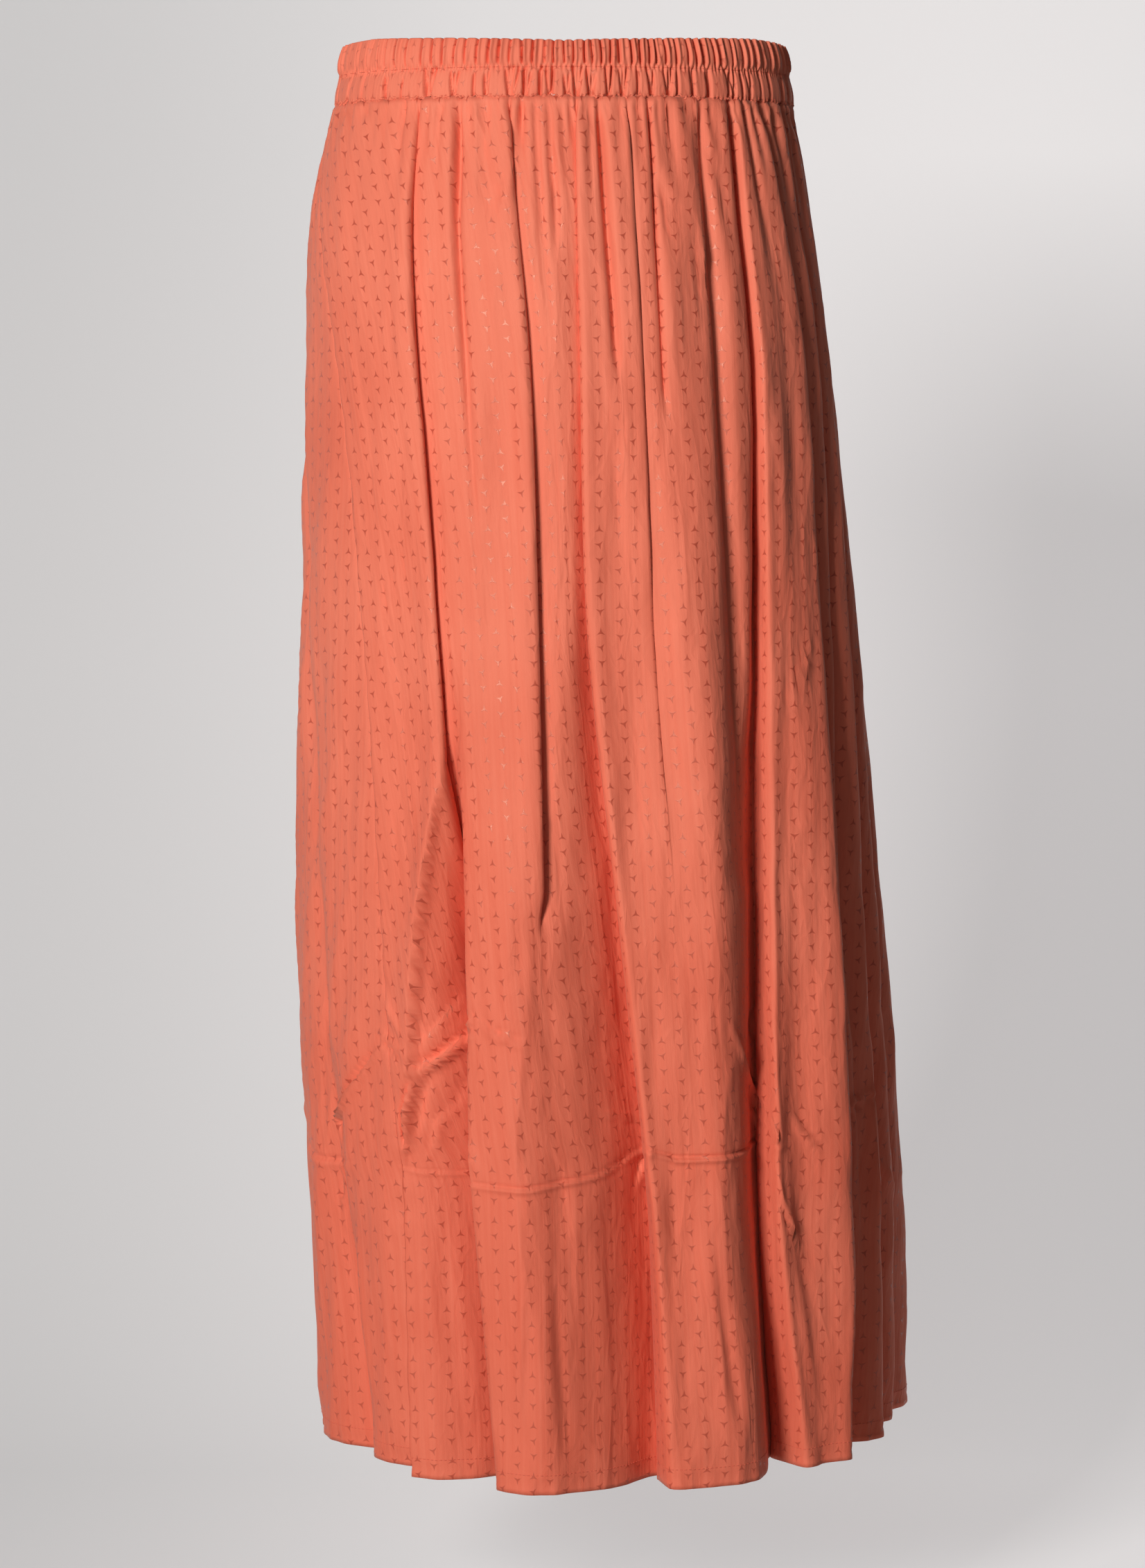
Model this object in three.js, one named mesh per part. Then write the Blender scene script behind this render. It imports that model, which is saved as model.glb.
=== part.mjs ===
// Maxi skirt: an A-line skirt of a back and a front panel, gathered on an elasticated waistband.
// Millimetres, +Z up. The origin is the middle of the worn waistband, +Y is the way the wearer
// faces and +X is the wearer's right. Every piece is a wall of cloth that hangs open and hollow.
import * as THREE from 'three'

// Driving sizes
const BAND_HEIGHT = 40
const BAND_WALL = 3.2
const BAND_GATHERS = 84
const BACK_DIP = 3
const CLOTH_WALL = 1.5
const HEM_WALL = 2.4
const HEM_TURN = 7
const HEM_STEP = 1.5
const SKIRT_LENGTH = 940
const SEAM_GAP = 0.3
const PANEL_INSET = 0.9
const INSET_END_DROP = 60
const SPANS_PER_FOLD = 6
const SPAN_EASE = 0.55
const MITRE_LIMIT = 1.4
const CLOTH_COLOUR = 0xe8735a

// The section of the skirt at each drop below the top edge: half-widths to the left and right,
// depths to the back and front, and how far forward the widest point of each side lies
const SECTIONS = [
  { drop: 0, left: 146, right: 147, back: 104, front: 108, leftY: 0, rightY: 0 },
  { drop: 40, left: 153, right: 154, back: 110, front: 113, leftY: 0, rightY: 0 },
  { drop: 70, left: 161, right: 160, back: 117, front: 116, leftY: 0, rightY: 0 },
  { drop: 110, left: 169, right: 166, back: 126, front: 120, leftY: 0, rightY: 0 },
  { drop: 200, left: 174, right: 180, back: 139, front: 124, leftY: 0, rightY: 0 },
  { drop: 300, left: 176, right: 191, back: 144, front: 129, leftY: 0, rightY: 3 },
  { drop: 400, left: 178, right: 202, back: 149, front: 136, leftY: 0, rightY: 8 },
  { drop: 600, left: 180, right: 220, back: 160, front: 148, leftY: 0, rightY: 16 },
  { drop: 800, left: 173, right: 236, back: 170, front: 156, leftY: 0, rightY: 30 },
  { drop: 940, left: 166, right: 240, back: 177, front: 160, leftY: 0, rightY: 38 },
]

// Drops at which the folds and seams below give their places, in degrees round from centre back
const STATIONS = [45, 200, 380, 560, 750, 935]
const LEFT_SEAM = [-84, -60, -48, -42, -38, -38]
const RIGHT_SEAM = [100, 103, 104, 107, 112, 118]

// Long folds: where the lip shows and how deep it is at each station, its width at the top and
// the hem, and its lean there: above 0 it laps to the right, below 0 to the left
const fold = (degrees, depth, width, lean) => ({ degrees, depth, width, lean })
const BACK_FOLDS = [
  fold([-70, -52, -42, -37, -33, -32.5], [8, 5, 3, 0, 0, 0], [8, 14], [0, 0]),
  fold([-53, -43, -35, -29.5, -26.5, -25], [8, 9, 5, 2, 0, 0], [8, 14], [0, 0]),
  fold([-37.7, -34.1, -27.8, -22.4, -18.6, -11.5], [16, 22, 24, 30, 52, 80], [7, 17], [0.5, -0.26]),
  fold([-26, -22, -17, -13.5, -9, -7], [6, 5, 3, 0, 0, 0], [7, 12], [0, 0]),
  fold([-13.1, -8, -5.8, -4.5, -3.8, -3], [14, 20, 20, 9, 0, 0], [7, 9], [0.5, 0.4]),
  fold([3.2, 4, 5, 9.6, 14.1, 17], [10, 14, 17, 22, 22, 19], [7, 20], [-0.4, -0.2]),
  fold([8.5, 11, 12, 15, 18.3, 21.5], [8, 5, 0, 0, 0, 0], [7, 12], [0, 0]),
  fold([15.5, 16, 16.5, 19, 22, 26], [9, 9, 7, 4, 0, 0], [7, 12], [0, 0]),
  fold([21, 20.5, 21.5, 24, 26.5, 29.5], [8, 4, 0, 0, 0, 0], [7, 12], [0, 0]),
  fold([28, 27, 27.5, 29, 31.5, 33.5], [5, 4, 4, 3, 0, 0], [7, 12], [0, 0]),
  fold([35, 33.8, 33.5, 34.5, 37.5, 39.5], [6, 8, 12, 14, 24, 36], [8, 20], [0, -0.1]),
  fold([45, 44, 42, 42, 44.5, 46], [16, 22, 18, 10, 3, 0], [7, 10], [0.5, 0.2]),
  fold([57, 60, 55.7, 53, 52.5, 51.5], [12, 16, 20, 30, 44, 56], [7, 16], [0.3, 0.3]),
  fold([69, 70, 63, 59.5, 60.5, 61], [9, 12, 12, 9, 4, 0], [7, 12], [0.3, 0]),
  fold([80, 80, 72, 69, 68.5, 69.5], [9, 13, 16, 20, 28, 36], [7, 18], [0.3, 0.1]),
  fold([90, 91, 87, 84, 83, 84], [8, 12, 14, 14, 14, 14], [8, 16], [0, 0]),
]
const FRONT_FOLDS = [
  fold([112, 116, 119, 124, 130, 136], [8, 12, 16, 20, 28, 34], [8, 18], [0.2, 0.1]),
  fold([124, 128, 131, 137, 144, 151], [10, 14, 14, 12, 8, 0], [7, 14], [0, 0]),
  fold([136, 140, 144, 150, 158, 165], [12, 18, 20, 26, 36, 44], [7, 17], [-0.3, -0.2]),
  fold([149, 152, 156, 163, 171, 179], [8, 10, 10, 6, 0, 0], [7, 12], [0, 0]),
  fold([161, 164, 168, 176, 184, 192], [12, 18, 22, 24, 30, 38], [7, 18], [0.4, 0.2]),
  fold([173, 176, 181, 189, 197, 205], [8, 12, 10, 6, 2, 0], [7, 12], [0, 0]),
  fold([185, 188, 194, 202, 210, 218], [12, 16, 20, 26, 34, 42], [7, 17], [-0.4, -0.2]),
  fold([197, 201, 207, 215, 223, 230], [8, 10, 8, 4, 0, 0], [7, 12], [0, 0]),
  fold([209, 213, 220, 228, 236, 243], [12, 18, 20, 24, 30, 36], [7, 18], [0.3, 0.1]),
  fold([221, 226, 233, 241, 249, 256], [8, 10, 12, 10, 6, 0], [7, 12], [0, 0]),
  fold([233, 239, 247, 255, 262, 269], [10, 12, 14, 14, 14, 16], [8, 16], [-0.2, 0]),
  fold([245, 253, 263, 271, 279, 285], [8, 8, 8, 6, 4, 0], [8, 12], [0, 0]),
  fold([258, 270, 283, 292, 299, 304], [7, 6, 6, 8, 12, 17], [8, 18], [0, 0]),
]

// Drops of the rows of points down a panel, above its hem
const ROW_DROPS = [40, 54, 80, 120, 180, 260, 370, 490, 610, 730, 840]

// The folds are pinched nearly flat at the waistband seam and full from this drop down
const FOLD_ONSET = { share: 0.12, fullDrop: 115 }

// A fold laps fully over from this lean up, and its lip then lies this share of its lean out
const FULL_LAP_LEAN = 0.25
const LIP_SHARE = 0.37

// The lobes between the folds stand out more and more towards the hem
const LOBE_CROWN = { top: 1, hem: 5 }

// Short gathers under the waistband: how deep and how long the least and the greatest are
const GATHER_DEPTH = { least: 1.6, most: 3.6 }
const GATHER_LENGTH = { least: 40, most: 150 }
const GATHER_PUFF = 0.4
const GATHER_SPANS = [2, 4]

// How far the hem rises above its lowest level at each angle: the front panel is cut a little
// shorter than the back one, and the flared side hangs higher
const HEM_RISE = [
  { degrees: -38, rise: 0 },
  { degrees: 20, rise: 0 },
  { degrees: 55, rise: 6 },
  { degrees: 118, rise: 9 },
  { degrees: 200, rise: 7 },
  { degrees: 322, rise: 7 },
]

// The waistband's outline in section, from the bottom of its outside over the top edge and down
// its inside: two channels that puff out on each side of a stitched row
const BAND_SECTION = [
  { height: -1, out: 0, wave: 0.5 },
  { height: -0.5, out: 1.8, wave: 1.3 },
  { height: 0, out: -0.5, wave: 0.5 },
  { height: 0.5, out: 2, wave: 1.3 },
  { height: 1, out: 0.2, wave: 0.9 },
  { height: 1, out: -2.6, wave: 0.4 },
  { height: 0, out: -BAND_WALL - 0.3, wave: 0 },
  { height: -1, out: -BAND_WALL, wave: 0 },
]
const GATHER_WAVE = [1, 0.7, -1.2]
const WAVE_STRENGTH = { least: 0.6, most: 1.3 }

// A value between the rows of a table, read at one column's value
function readTable(table, key, at, name) {
  const last = table.length - 1
  if (at <= table[0][key]) return table[0][name]
  for (let i = 0; i < last; i++) {
    const low = table[i]
    const high = table[i + 1]
    if (at <= high[key]) {
      return THREE.MathUtils.mapLinear(at, low[key], high[key], low[name], high[name])
    }
  }
  return table[last][name]
}

// A value of a fold or seam at a drop, from its values at the stations
function atDrop(values, drop) {
  const last = STATIONS.length - 1
  if (drop <= STATIONS[0]) return values[0]
  for (let i = 0; i < last; i++) {
    if (drop <= STATIONS[i + 1]) {
      return THREE.MathUtils.mapLinear(drop, STATIONS[i], STATIONS[i + 1], values[i], values[i + 1])
    }
  }
  return values[last]
}

// A repeatable uneven number from 0 to 1 for the piece with this number
function uneven(number) {
  const wave = Math.sin(number * 12.9898) * 43758.5453
  return wave - Math.floor(wave)
}

// The plain section without folds: a point, its outward normal, its tangent and mm per degree
function plainSection(degrees, drop) {
  const turn = THREE.MathUtils.degToRad(degrees)
  const onRight = Math.sin(turn) >= 0
  const atBack = Math.cos(turn) >= 0
  const halfWidth = readTable(SECTIONS, 'drop', drop, onRight ? 'right' : 'left')
  const sideY = readTable(SECTIONS, 'drop', drop, onRight ? 'rightY' : 'leftY')
  const depth = atBack
    ? readTable(SECTIONS, 'drop', drop, 'back') + sideY
    : readTable(SECTIONS, 'drop', drop, 'front') - sideY
  const point = new THREE.Vector2(halfWidth * Math.sin(turn), sideY - depth * Math.cos(turn))
  const step = new THREE.Vector2(halfWidth * Math.cos(turn), depth * Math.sin(turn))
  const perDegree = THREE.MathUtils.degToRad(step.length())
  const tangent = step.normalize()
  const normal = new THREE.Vector2(tangent.y, -tangent.x)
  return { point, tangent, normal, perDegree }
}

// How open the folds are at a drop: pinched flat at the waistband seam and full a little below it
function foldOnset(drop) {
  const open = THREE.MathUtils.smoothstep(drop, BAND_HEIGHT, FOLD_ONSET.fullDrop)
  return THREE.MathUtils.lerp(FOLD_ONSET.share, 1, open)
}

// The lowest level of the cloth at an angle
function hemDrop(degrees) {
  return SKIRT_LENGTH - readTable(HEM_RISE, 'degrees', degrees, 'rise')
}

// How one fold moves the cloth at an angle and drop: a bell-shaped groove that goes in and leans
function foldMove(fold, degrees, drop, section) {
  const down = (drop - BAND_HEIGHT) / (SKIRT_LENGTH - BAND_HEIGHT)
  const width = THREE.MathUtils.lerp(fold.width[0], fold.width[1], down)
  const lean = THREE.MathUtils.lerp(fold.lean[0], fold.lean[1], down)
  const depth = atDrop(fold.depth, drop) * foldOnset(drop)
  const lip = THREE.MathUtils.clamp(lean / FULL_LAP_LEAN, -1, 1) * width + LIP_SHARE * lean * depth
  const away = (degrees - atDrop(fold.degrees, drop)) * section.perDegree - lip
  const bell = Math.exp(-((away / width) ** 2))
  return { inward: depth * bell, sideways: lean * depth * bell }
}

// One column of points runs down the cloth between two neighbouring folds or seams
function columnsBetween(before, after, gap, panel) {
  const columns = []
  for (let span = 0; span < SPANS_PER_FOLD; span++) {
    const part = span / SPANS_PER_FOLD
    const eased = part - SPAN_EASE * Math.sin(2 * Math.PI * part) / (2 * Math.PI)
    const number = gap * SPANS_PER_FOLD + span
    const sunk = GATHER_SPANS.includes(span)
    const strength = THREE.MathUtils.lerp(GATHER_DEPTH.least, GATHER_DEPTH.most, uneven(number))
    const length = THREE.MathUtils.lerp(GATHER_LENGTH.least, GATHER_LENGTH.most, uneven(number + 7))
    columns.push({
      panel,
      part: eased,
      degreesAt: (drop) => THREE.MathUtils.lerp(before(drop), after(drop), eased),
      gather: sunk ? strength : -GATHER_PUFF * strength,
      length,
    })
  }
  return columns
}

// The columns of a whole panel, from its left seam to its right one, SEAM_GAP apart at the seams
function panelColumns(panel, folds, leftSeam, rightSeam, firstGap) {
  const tracks = [leftSeam, ...folds.map((fold) => (drop) => atDrop(fold.degrees, drop)), rightSeam]
  const columns = []
  for (let i = 0; i + 1 < tracks.length; i++) {
    columns.push(...columnsBetween(tracks[i], tracks[i + 1], firstGap + i, panel))
  }
  columns.push({ panel, part: 1, degreesAt: rightSeam, gather: 0, length: 1 })
  columns[0].shift = SEAM_GAP / 2
  columns[columns.length - 1].shift = -SEAM_GAP / 2
  return columns
}

const leftSeamAt = (drop) => atDrop(LEFT_SEAM, drop)
const rightSeamAt = (drop) => atDrop(RIGHT_SEAM, drop)
const backColumns = panelColumns('back_panel', BACK_FOLDS, leftSeamAt, rightSeamAt, 0)
const frontColumns = panelColumns(
  'front_panel', FRONT_FOLDS, rightSeamAt, (drop) => leftSeamAt(drop) + 360, BACK_FOLDS.length + 1,
)
const allColumns = [...backColumns, ...frontColumns]
const allFolds = [...BACK_FOLDS, ...FRONT_FOLDS]

// The outer face of the cloth at one column and drop
function clothPoint(column, drop) {
  const degrees = column.degreesAt(drop)
  const section = plainSection(degrees, drop)
  const down = (drop - BAND_HEIGHT) / (SKIRT_LENGTH - BAND_HEIGHT)
  const crown = THREE.MathUtils.lerp(LOBE_CROWN.top, LOBE_CROWN.hem, down)
  const gatherFade = 1 - THREE.MathUtils.smoothstep(drop, BAND_HEIGHT, BAND_HEIGHT + column.length)
  const inset = PANEL_INSET * (1 - THREE.MathUtils.smoothstep(drop, BAND_HEIGHT, INSET_END_DROP))
  const gather = column.gather * gatherFade
  let out = crown * Math.sin(Math.PI * column.part) ** 2 - gather - inset
  let along = column.shift ?? 0
  for (const fold of allFolds) {
    for (const turn of [-360, 0, 360]) {
      const move = foldMove(fold, degrees + turn, drop, section)
      out -= move.inward
      along -= move.sideways
    }
  }
  return section.point.clone().addScaledVector(section.normal, out).addScaledVector(section.tangent, along)
}

// The inside of a closed ring of outer points, one wall thickness in from it
function insideOfRing(ring, wall) {
  return ring.map((point, i) => {
    const before = ring[(i + ring.length - 1) % ring.length]
    const after = ring[(i + 1) % ring.length]
    const arriving = point.clone().sub(before).normalize()
    const leaving = after.clone().sub(point).normalize()
    const along = arriving.clone().add(leaving).normalize()
    const mitre = Math.min(1 / along.dot(leaving), MITRE_LIMIT)
    return new THREE.Vector2(point.x - along.y * wall * mitre, point.y + along.x * wall * mitre)
  })
}

// Rows of outer and inner points of the whole skirt; the last ones make the turned hem
const rowMakers = ROW_DROPS.map((drop) => ({ dropAt: () => drop, wall: CLOTH_WALL }))
rowMakers.push({ dropAt: (degrees) => hemDrop(degrees) - HEM_TURN - HEM_STEP, wall: CLOTH_WALL })
rowMakers.push({ dropAt: (degrees) => hemDrop(degrees) - HEM_TURN, wall: HEM_WALL })
rowMakers.push({ dropAt: hemDrop, wall: HEM_WALL })

const rows = rowMakers.map(({ dropAt, wall }) => {
  const drops = allColumns.map((column) => dropAt(column.degreesAt(SKIRT_LENGTH)))
  const outer = allColumns.map((column, i) => clothPoint(column, drops[i]))
  const inner = insideOfRing(outer, wall)
  const heights = drops.map((drop) => BAND_HEIGHT / 2 - drop - (drop === BAND_HEIGHT ? SEAM_GAP : 0))
  return { outer, inner, heights }
})

// A closed wall from a grid of outer points and one of inner points, row by row from the top
function wallGeometry(outerGrid, innerGrid) {
  const rowCount = outerGrid.length
  const columnCount = outerGrid[0].length
  const positions = [...outerGrid, ...innerGrid].flat().flatMap((point) => [point.x, point.y, point.z])
  const index = []
  const outerAt = (row, column) => row * columnCount + column
  const innerAt = (row, column) => (rowCount + row) * columnCount + column
  const quad = (a, b, c, d) => index.push(a, b, c, a, c, d)
  for (let row = 0; row + 1 < rowCount; row++) {
    for (let column = 0; column + 1 < columnCount; column++) {
      const next = column + 1
      quad(outerAt(row, column), outerAt(row + 1, column), outerAt(row + 1, next), outerAt(row, next))
      quad(innerAt(row, column), innerAt(row, next), innerAt(row + 1, next), innerAt(row + 1, column))
    }
    const end = columnCount - 1
    quad(outerAt(row, 0), innerAt(row, 0), innerAt(row + 1, 0), outerAt(row + 1, 0))
    quad(outerAt(row, end), outerAt(row + 1, end), innerAt(row + 1, end), innerAt(row, end))
  }
  for (let column = 0; column + 1 < columnCount; column++) {
    const low = rowCount - 1
    quad(outerAt(0, column), outerAt(0, column + 1), innerAt(0, column + 1), innerAt(0, column))
    quad(outerAt(low, column), innerAt(low, column), innerAt(low, column + 1), outerAt(low, column + 1))
  }
  const geometry = new THREE.BufferGeometry()
  geometry.setAttribute('position', new THREE.Float32BufferAttribute(positions, 3))
  geometry.setIndex(index)
  geometry.computeVertexNormals()
  return geometry
}

// One panel: its columns of every row
function panelGeometry(panel) {
  const places = allColumns.map((column, i) => i).filter((i) => allColumns[i].panel === panel)
  const lift = (points, heights) => places.map((i) => new THREE.Vector3(points[i].x, points[i].y, heights[i]))
  return wallGeometry(
    rows.map((row) => lift(row.outer, row.heights)),
    rows.map((row) => lift(row.inner, row.heights)),
  )
}

// The waistband: its section carried round the waist, waved by the gathers of its elastic
function waistbandGeometry() {
  const columnCount = BAND_GATHERS * GATHER_WAVE.length
  const positions = []
  const index = []
  for (let column = 0; column < columnCount; column++) {
    const gather = Math.floor(column / GATHER_WAVE.length)
    const spread = GATHER_WAVE.length * BAND_GATHERS
    const degrees = ((column + 0.5 * uneven(gather)) / spread) * 360
    const dip = BACK_DIP * Math.max(0, Math.cos(THREE.MathUtils.degToRad(degrees))) ** 4
    for (const { height, out, wave } of BAND_SECTION) {
      const section = plainSection(degrees, BAND_HEIGHT * (1 - height) / 2)
      const share = uneven(gather * 3 + height)
      const strength = THREE.MathUtils.lerp(WAVE_STRENGTH.least, WAVE_STRENGTH.most, share)
      const reach = out + wave * strength * GATHER_WAVE[column % GATHER_WAVE.length]
      const point = section.point.clone().addScaledVector(section.normal, reach)
      const z = (BAND_HEIGHT / 2) * height - (height === 1 ? dip : 0)
      positions.push(point.x, point.y, z)
    }
  }
  const size = BAND_SECTION.length
  for (let column = 0; column < columnCount; column++) {
    const here = column * size
    const next = ((column + 1) % columnCount) * size
    for (let side = 0; side < size; side++) {
      const up = (side + 1) % size
      index.push(here + side, next + side, next + up)
      index.push(here + side, next + up, here + up)
    }
  }
  const geometry = new THREE.BufferGeometry()
  geometry.setAttribute('position', new THREE.Float32BufferAttribute(positions, 3))
  geometry.setIndex(index)
  geometry.computeVertexNormals()
  return geometry
}

// Each sub-part is a mesh of its own
function clothMesh(name, geometry) {
  const material = new THREE.MeshStandardMaterial({ color: CLOTH_COLOUR, roughness: 0.75, metalness: 0 })
  const mesh = new THREE.Mesh(geometry, material)
  mesh.name = name
  return mesh
}

const group = new THREE.Group()
group.add(clothMesh('waistband', waistbandGeometry()))
group.add(clothMesh('back_panel', panelGeometry('back_panel')))
group.add(clothMesh('front_panel', panelGeometry('front_panel')))

export default group
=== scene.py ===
import math

import bpy
import numpy as np
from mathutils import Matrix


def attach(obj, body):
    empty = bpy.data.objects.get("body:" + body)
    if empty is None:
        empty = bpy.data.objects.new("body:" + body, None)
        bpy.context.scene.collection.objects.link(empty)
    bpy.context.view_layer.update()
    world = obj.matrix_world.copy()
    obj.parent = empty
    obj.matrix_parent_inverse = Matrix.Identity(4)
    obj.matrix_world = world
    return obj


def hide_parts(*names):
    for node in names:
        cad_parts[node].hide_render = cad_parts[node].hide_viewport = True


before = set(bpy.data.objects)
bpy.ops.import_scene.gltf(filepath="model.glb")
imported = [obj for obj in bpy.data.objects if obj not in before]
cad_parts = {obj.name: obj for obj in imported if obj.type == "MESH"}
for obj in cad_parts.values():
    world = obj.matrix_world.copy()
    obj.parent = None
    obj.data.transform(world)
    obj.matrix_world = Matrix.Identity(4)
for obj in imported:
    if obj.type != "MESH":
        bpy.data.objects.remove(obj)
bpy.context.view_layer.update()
bpy.ops.object.select_all(action="DESELECT")

# The studio is a pale floor that curves up into a plain wall behind the skirt. The wall glows with painted
# light of its own, is painted darker towards the left and dark beyond the right as painted shade, and from
# behind it can be seen through.
FLOOR_Z = -1.05
FLOOR_DEPTH = 3.4
COVE_START = 0.4
COVE_RADIUS = 0.6
WALL_RISE = 2.6
bpy.ops.mesh.primitive_plane_add(size=1, location=(0, 0, 0))
backdrop = bpy.context.object
backdrop.name = "backdrop"
bpy.ops.object.mode_set(mode="EDIT")
bpy.ops.transform.resize(value=(6, FLOOR_DEPTH, 1))
bpy.ops.transform.translate(value=(0, COVE_START - FLOOR_DEPTH / 2, FLOOR_Z))
bpy.ops.mesh.select_all(action="DESELECT")
bpy.ops.object.mode_set(mode="OBJECT")
for edge in backdrop.data.edges:
    edge.select = min(backdrop.data.vertices[i].co.y for i in edge.vertices) > COVE_START - 0.01
for vertex in backdrop.data.vertices:
    vertex.select = vertex.co.y > COVE_START - 0.01
bpy.ops.object.mode_set(mode="EDIT")
bpy.ops.mesh.spin(steps=32, angle=math.radians(-90), axis=(1, 0, 0),
                  center=(0, COVE_START, FLOOR_Z + COVE_RADIUS))
bpy.ops.mesh.extrude_region_move(TRANSFORM_OT_translate={"value": (0, 0, WALL_RISE)})
bpy.ops.mesh.select_all(action="SELECT")
bpy.ops.mesh.normals_make_consistent(inside=False)
bpy.ops.object.mode_set(mode="OBJECT")
if sum(face.normal.z for face in backdrop.data.polygons) < 0:
    backdrop.data.flip_normals()
bpy.ops.object.shade_smooth()


def wall_paint_with_painted_shade_and_glow(name, glow):
    """Matt pale paint, painted darker towards the left and dark beyond the right as painted shade, glowing
    softly with painted light, and clear from behind.
    """
    paint = bpy.data.materials.new(name)
    paint.use_nodes = True
    nodes, links = paint.node_tree.nodes, paint.node_tree.links
    shader = nodes["Principled BSDF"]
    shader.inputs["Roughness"].default_value = 0.9
    shader.inputs["Specular IOR Level"].default_value = 0.1
    place = nodes.new("ShaderNodeTexCoord")
    parts = nodes.new("ShaderNodeSeparateXYZ")
    links.new(place.outputs["Object"], parts.inputs[0])
    # painted light: the wall and the floor behind the skirt glow, the floor in front does not
    painted_glow = nodes.new("ShaderNodeMapRange")
    painted_glow.interpolation_type = "SMOOTHSTEP"
    painted_glow.inputs["From Min"].default_value = -0.05
    painted_glow.inputs["From Max"].default_value = 0.12
    painted_glow.inputs["To Max"].default_value = glow
    links.new(parts.outputs["Y"], painted_glow.inputs["Value"])
    links.new(painted_glow.outputs["Result"], shader.inputs["Emission Strength"])
    # painted shade: the paint is darker towards the left
    share = nodes.new("ShaderNodeMapRange")
    share.interpolation_type = "SMOOTHSTEP"
    share.inputs["From Min"].default_value = -0.62
    share.inputs["From Max"].default_value = 0.5
    links.new(parts.outputs["X"], share.inputs["Value"])
    share.inputs["To Max"].default_value = 0.5
    # painted shade: the paint turns dark beyond the right edge, so less light bounces onto the skirt's right
    # side
    painted_shade_past_right = nodes.new("ShaderNodeMapRange")
    painted_shade_past_right.interpolation_type = "SMOOTHSTEP"
    painted_shade_past_right.inputs["From Min"].default_value = 0.62
    painted_shade_past_right.inputs["From Max"].default_value = 0.95
    painted_shade_past_right.inputs["To Max"].default_value = 0.5
    links.new(parts.outputs["X"], painted_shade_past_right.inputs["Value"])
    where = nodes.new("ShaderNodeMath")
    where.operation = "ADD"
    links.new(share.outputs["Result"], where.inputs[0])
    links.new(painted_shade_past_right.outputs["Result"], where.inputs[1])
    tone_with_painted_shade = nodes.new("ShaderNodeValToRGB")
    tone_with_painted_shade.color_ramp.elements[0].color = (0.36, 0.356, 0.356, 1)
    tone_with_painted_shade.color_ramp.elements[1].position = 0.24
    tone_with_painted_shade.color_ramp.elements[1].color = (0.47, 0.464, 0.464, 1)
    right_side = tone_with_painted_shade.color_ramp.elements.new(0.5)
    right_side.color = (0.53, 0.52, 0.52, 1)
    painted_shade_stop = tone_with_painted_shade.color_ramp.elements.new(1.0)
    painted_shade_stop.color = (0.2, 0.2, 0.2, 1)
    links.new(where.outputs[0], tone_with_painted_shade.inputs["Fac"])
    links.new(tone_with_painted_shade.outputs["Color"], shader.inputs["Base Color"])
    links.new(tone_with_painted_shade.outputs["Color"], shader.inputs["Emission Color"])
    clear = nodes.new("ShaderNodeBsdfTransparent")
    side = nodes.new("ShaderNodeNewGeometry")
    mix = nodes.new("ShaderNodeMixShader")
    links.new(side.outputs["Backfacing"], mix.inputs["Fac"])
    links.new(shader.outputs[0], mix.inputs[1])
    links.new(clear.outputs[0], mix.inputs[2])
    links.new(mix.outputs[0], nodes["Material Output"].inputs["Surface"])
    return paint


backdrop.data.materials.append(wall_paint_with_painted_shade_and_glow("studio_paint_painted_shade_and_glow", 0.83))

world = bpy.data.worlds.new("studio_air")
bpy.context.scene.world = world
world.use_nodes = True
air = world.node_tree.nodes["Background"]
air.inputs["Color"].default_value = (0.97, 0.98, 1, 1)
# the air gives little light, and looks as pale as the wall where nothing stands in front of it
seen = world.node_tree.nodes.new("ShaderNodeLightPath")
glow = world.node_tree.nodes.new("ShaderNodeMapRange")
glow.inputs["To Min"].default_value = 0.045
glow.inputs["To Max"].default_value = 0.62
world.node_tree.links.new(seen.outputs["Is Camera Ray"], glow.inputs["Value"])
world.node_tree.links.new(glow.outputs["Result"], air.inputs["Strength"])


def soft_lamp(name, place, aim, size, watts, colour):
    bpy.ops.object.light_add(type="AREA", location=place)
    lamp = bpy.context.object
    lamp.name = name
    lamp.data.shape = "RECTANGLE"
    lamp.data.size, lamp.data.size_y = size
    lamp.data.energy = watts
    lamp.data.color = colour
    towards = [a - b for a, b in zip(aim, place)]
    flat = math.hypot(towards[0], towards[1])
    lamp.rotation_euler = (math.atan2(flat, -towards[2]), 0, math.atan2(-towards[0], towards[1]))
    return lamp


soft_lamp("key_lamp", (-1.5, -3.05, 0.62), (0, 0, -0.35), (0.95, 1.1), 118, (1, 0.985, 0.965))
soft_lamp("front_lamp", (-0.3, -3.7, 1.0), (0, 0, -0.45), (1.6, 1.6), 4, (1, 0.99, 0.98))

CAMERA_TURN = 84.76
bpy.ops.object.camera_add(location=(0.0061, -3.0, -0.20), rotation=(math.radians(CAMERA_TURN), 0, 0))
camera = bpy.context.object
camera.data.lens = 101.8
camera.data.sensor_width = 36
bpy.context.scene.camera = camera
bpy.context.scene.view_settings.view_transform = "Standard"
bpy.ops.object.select_all(action="DESELECT")

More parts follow.
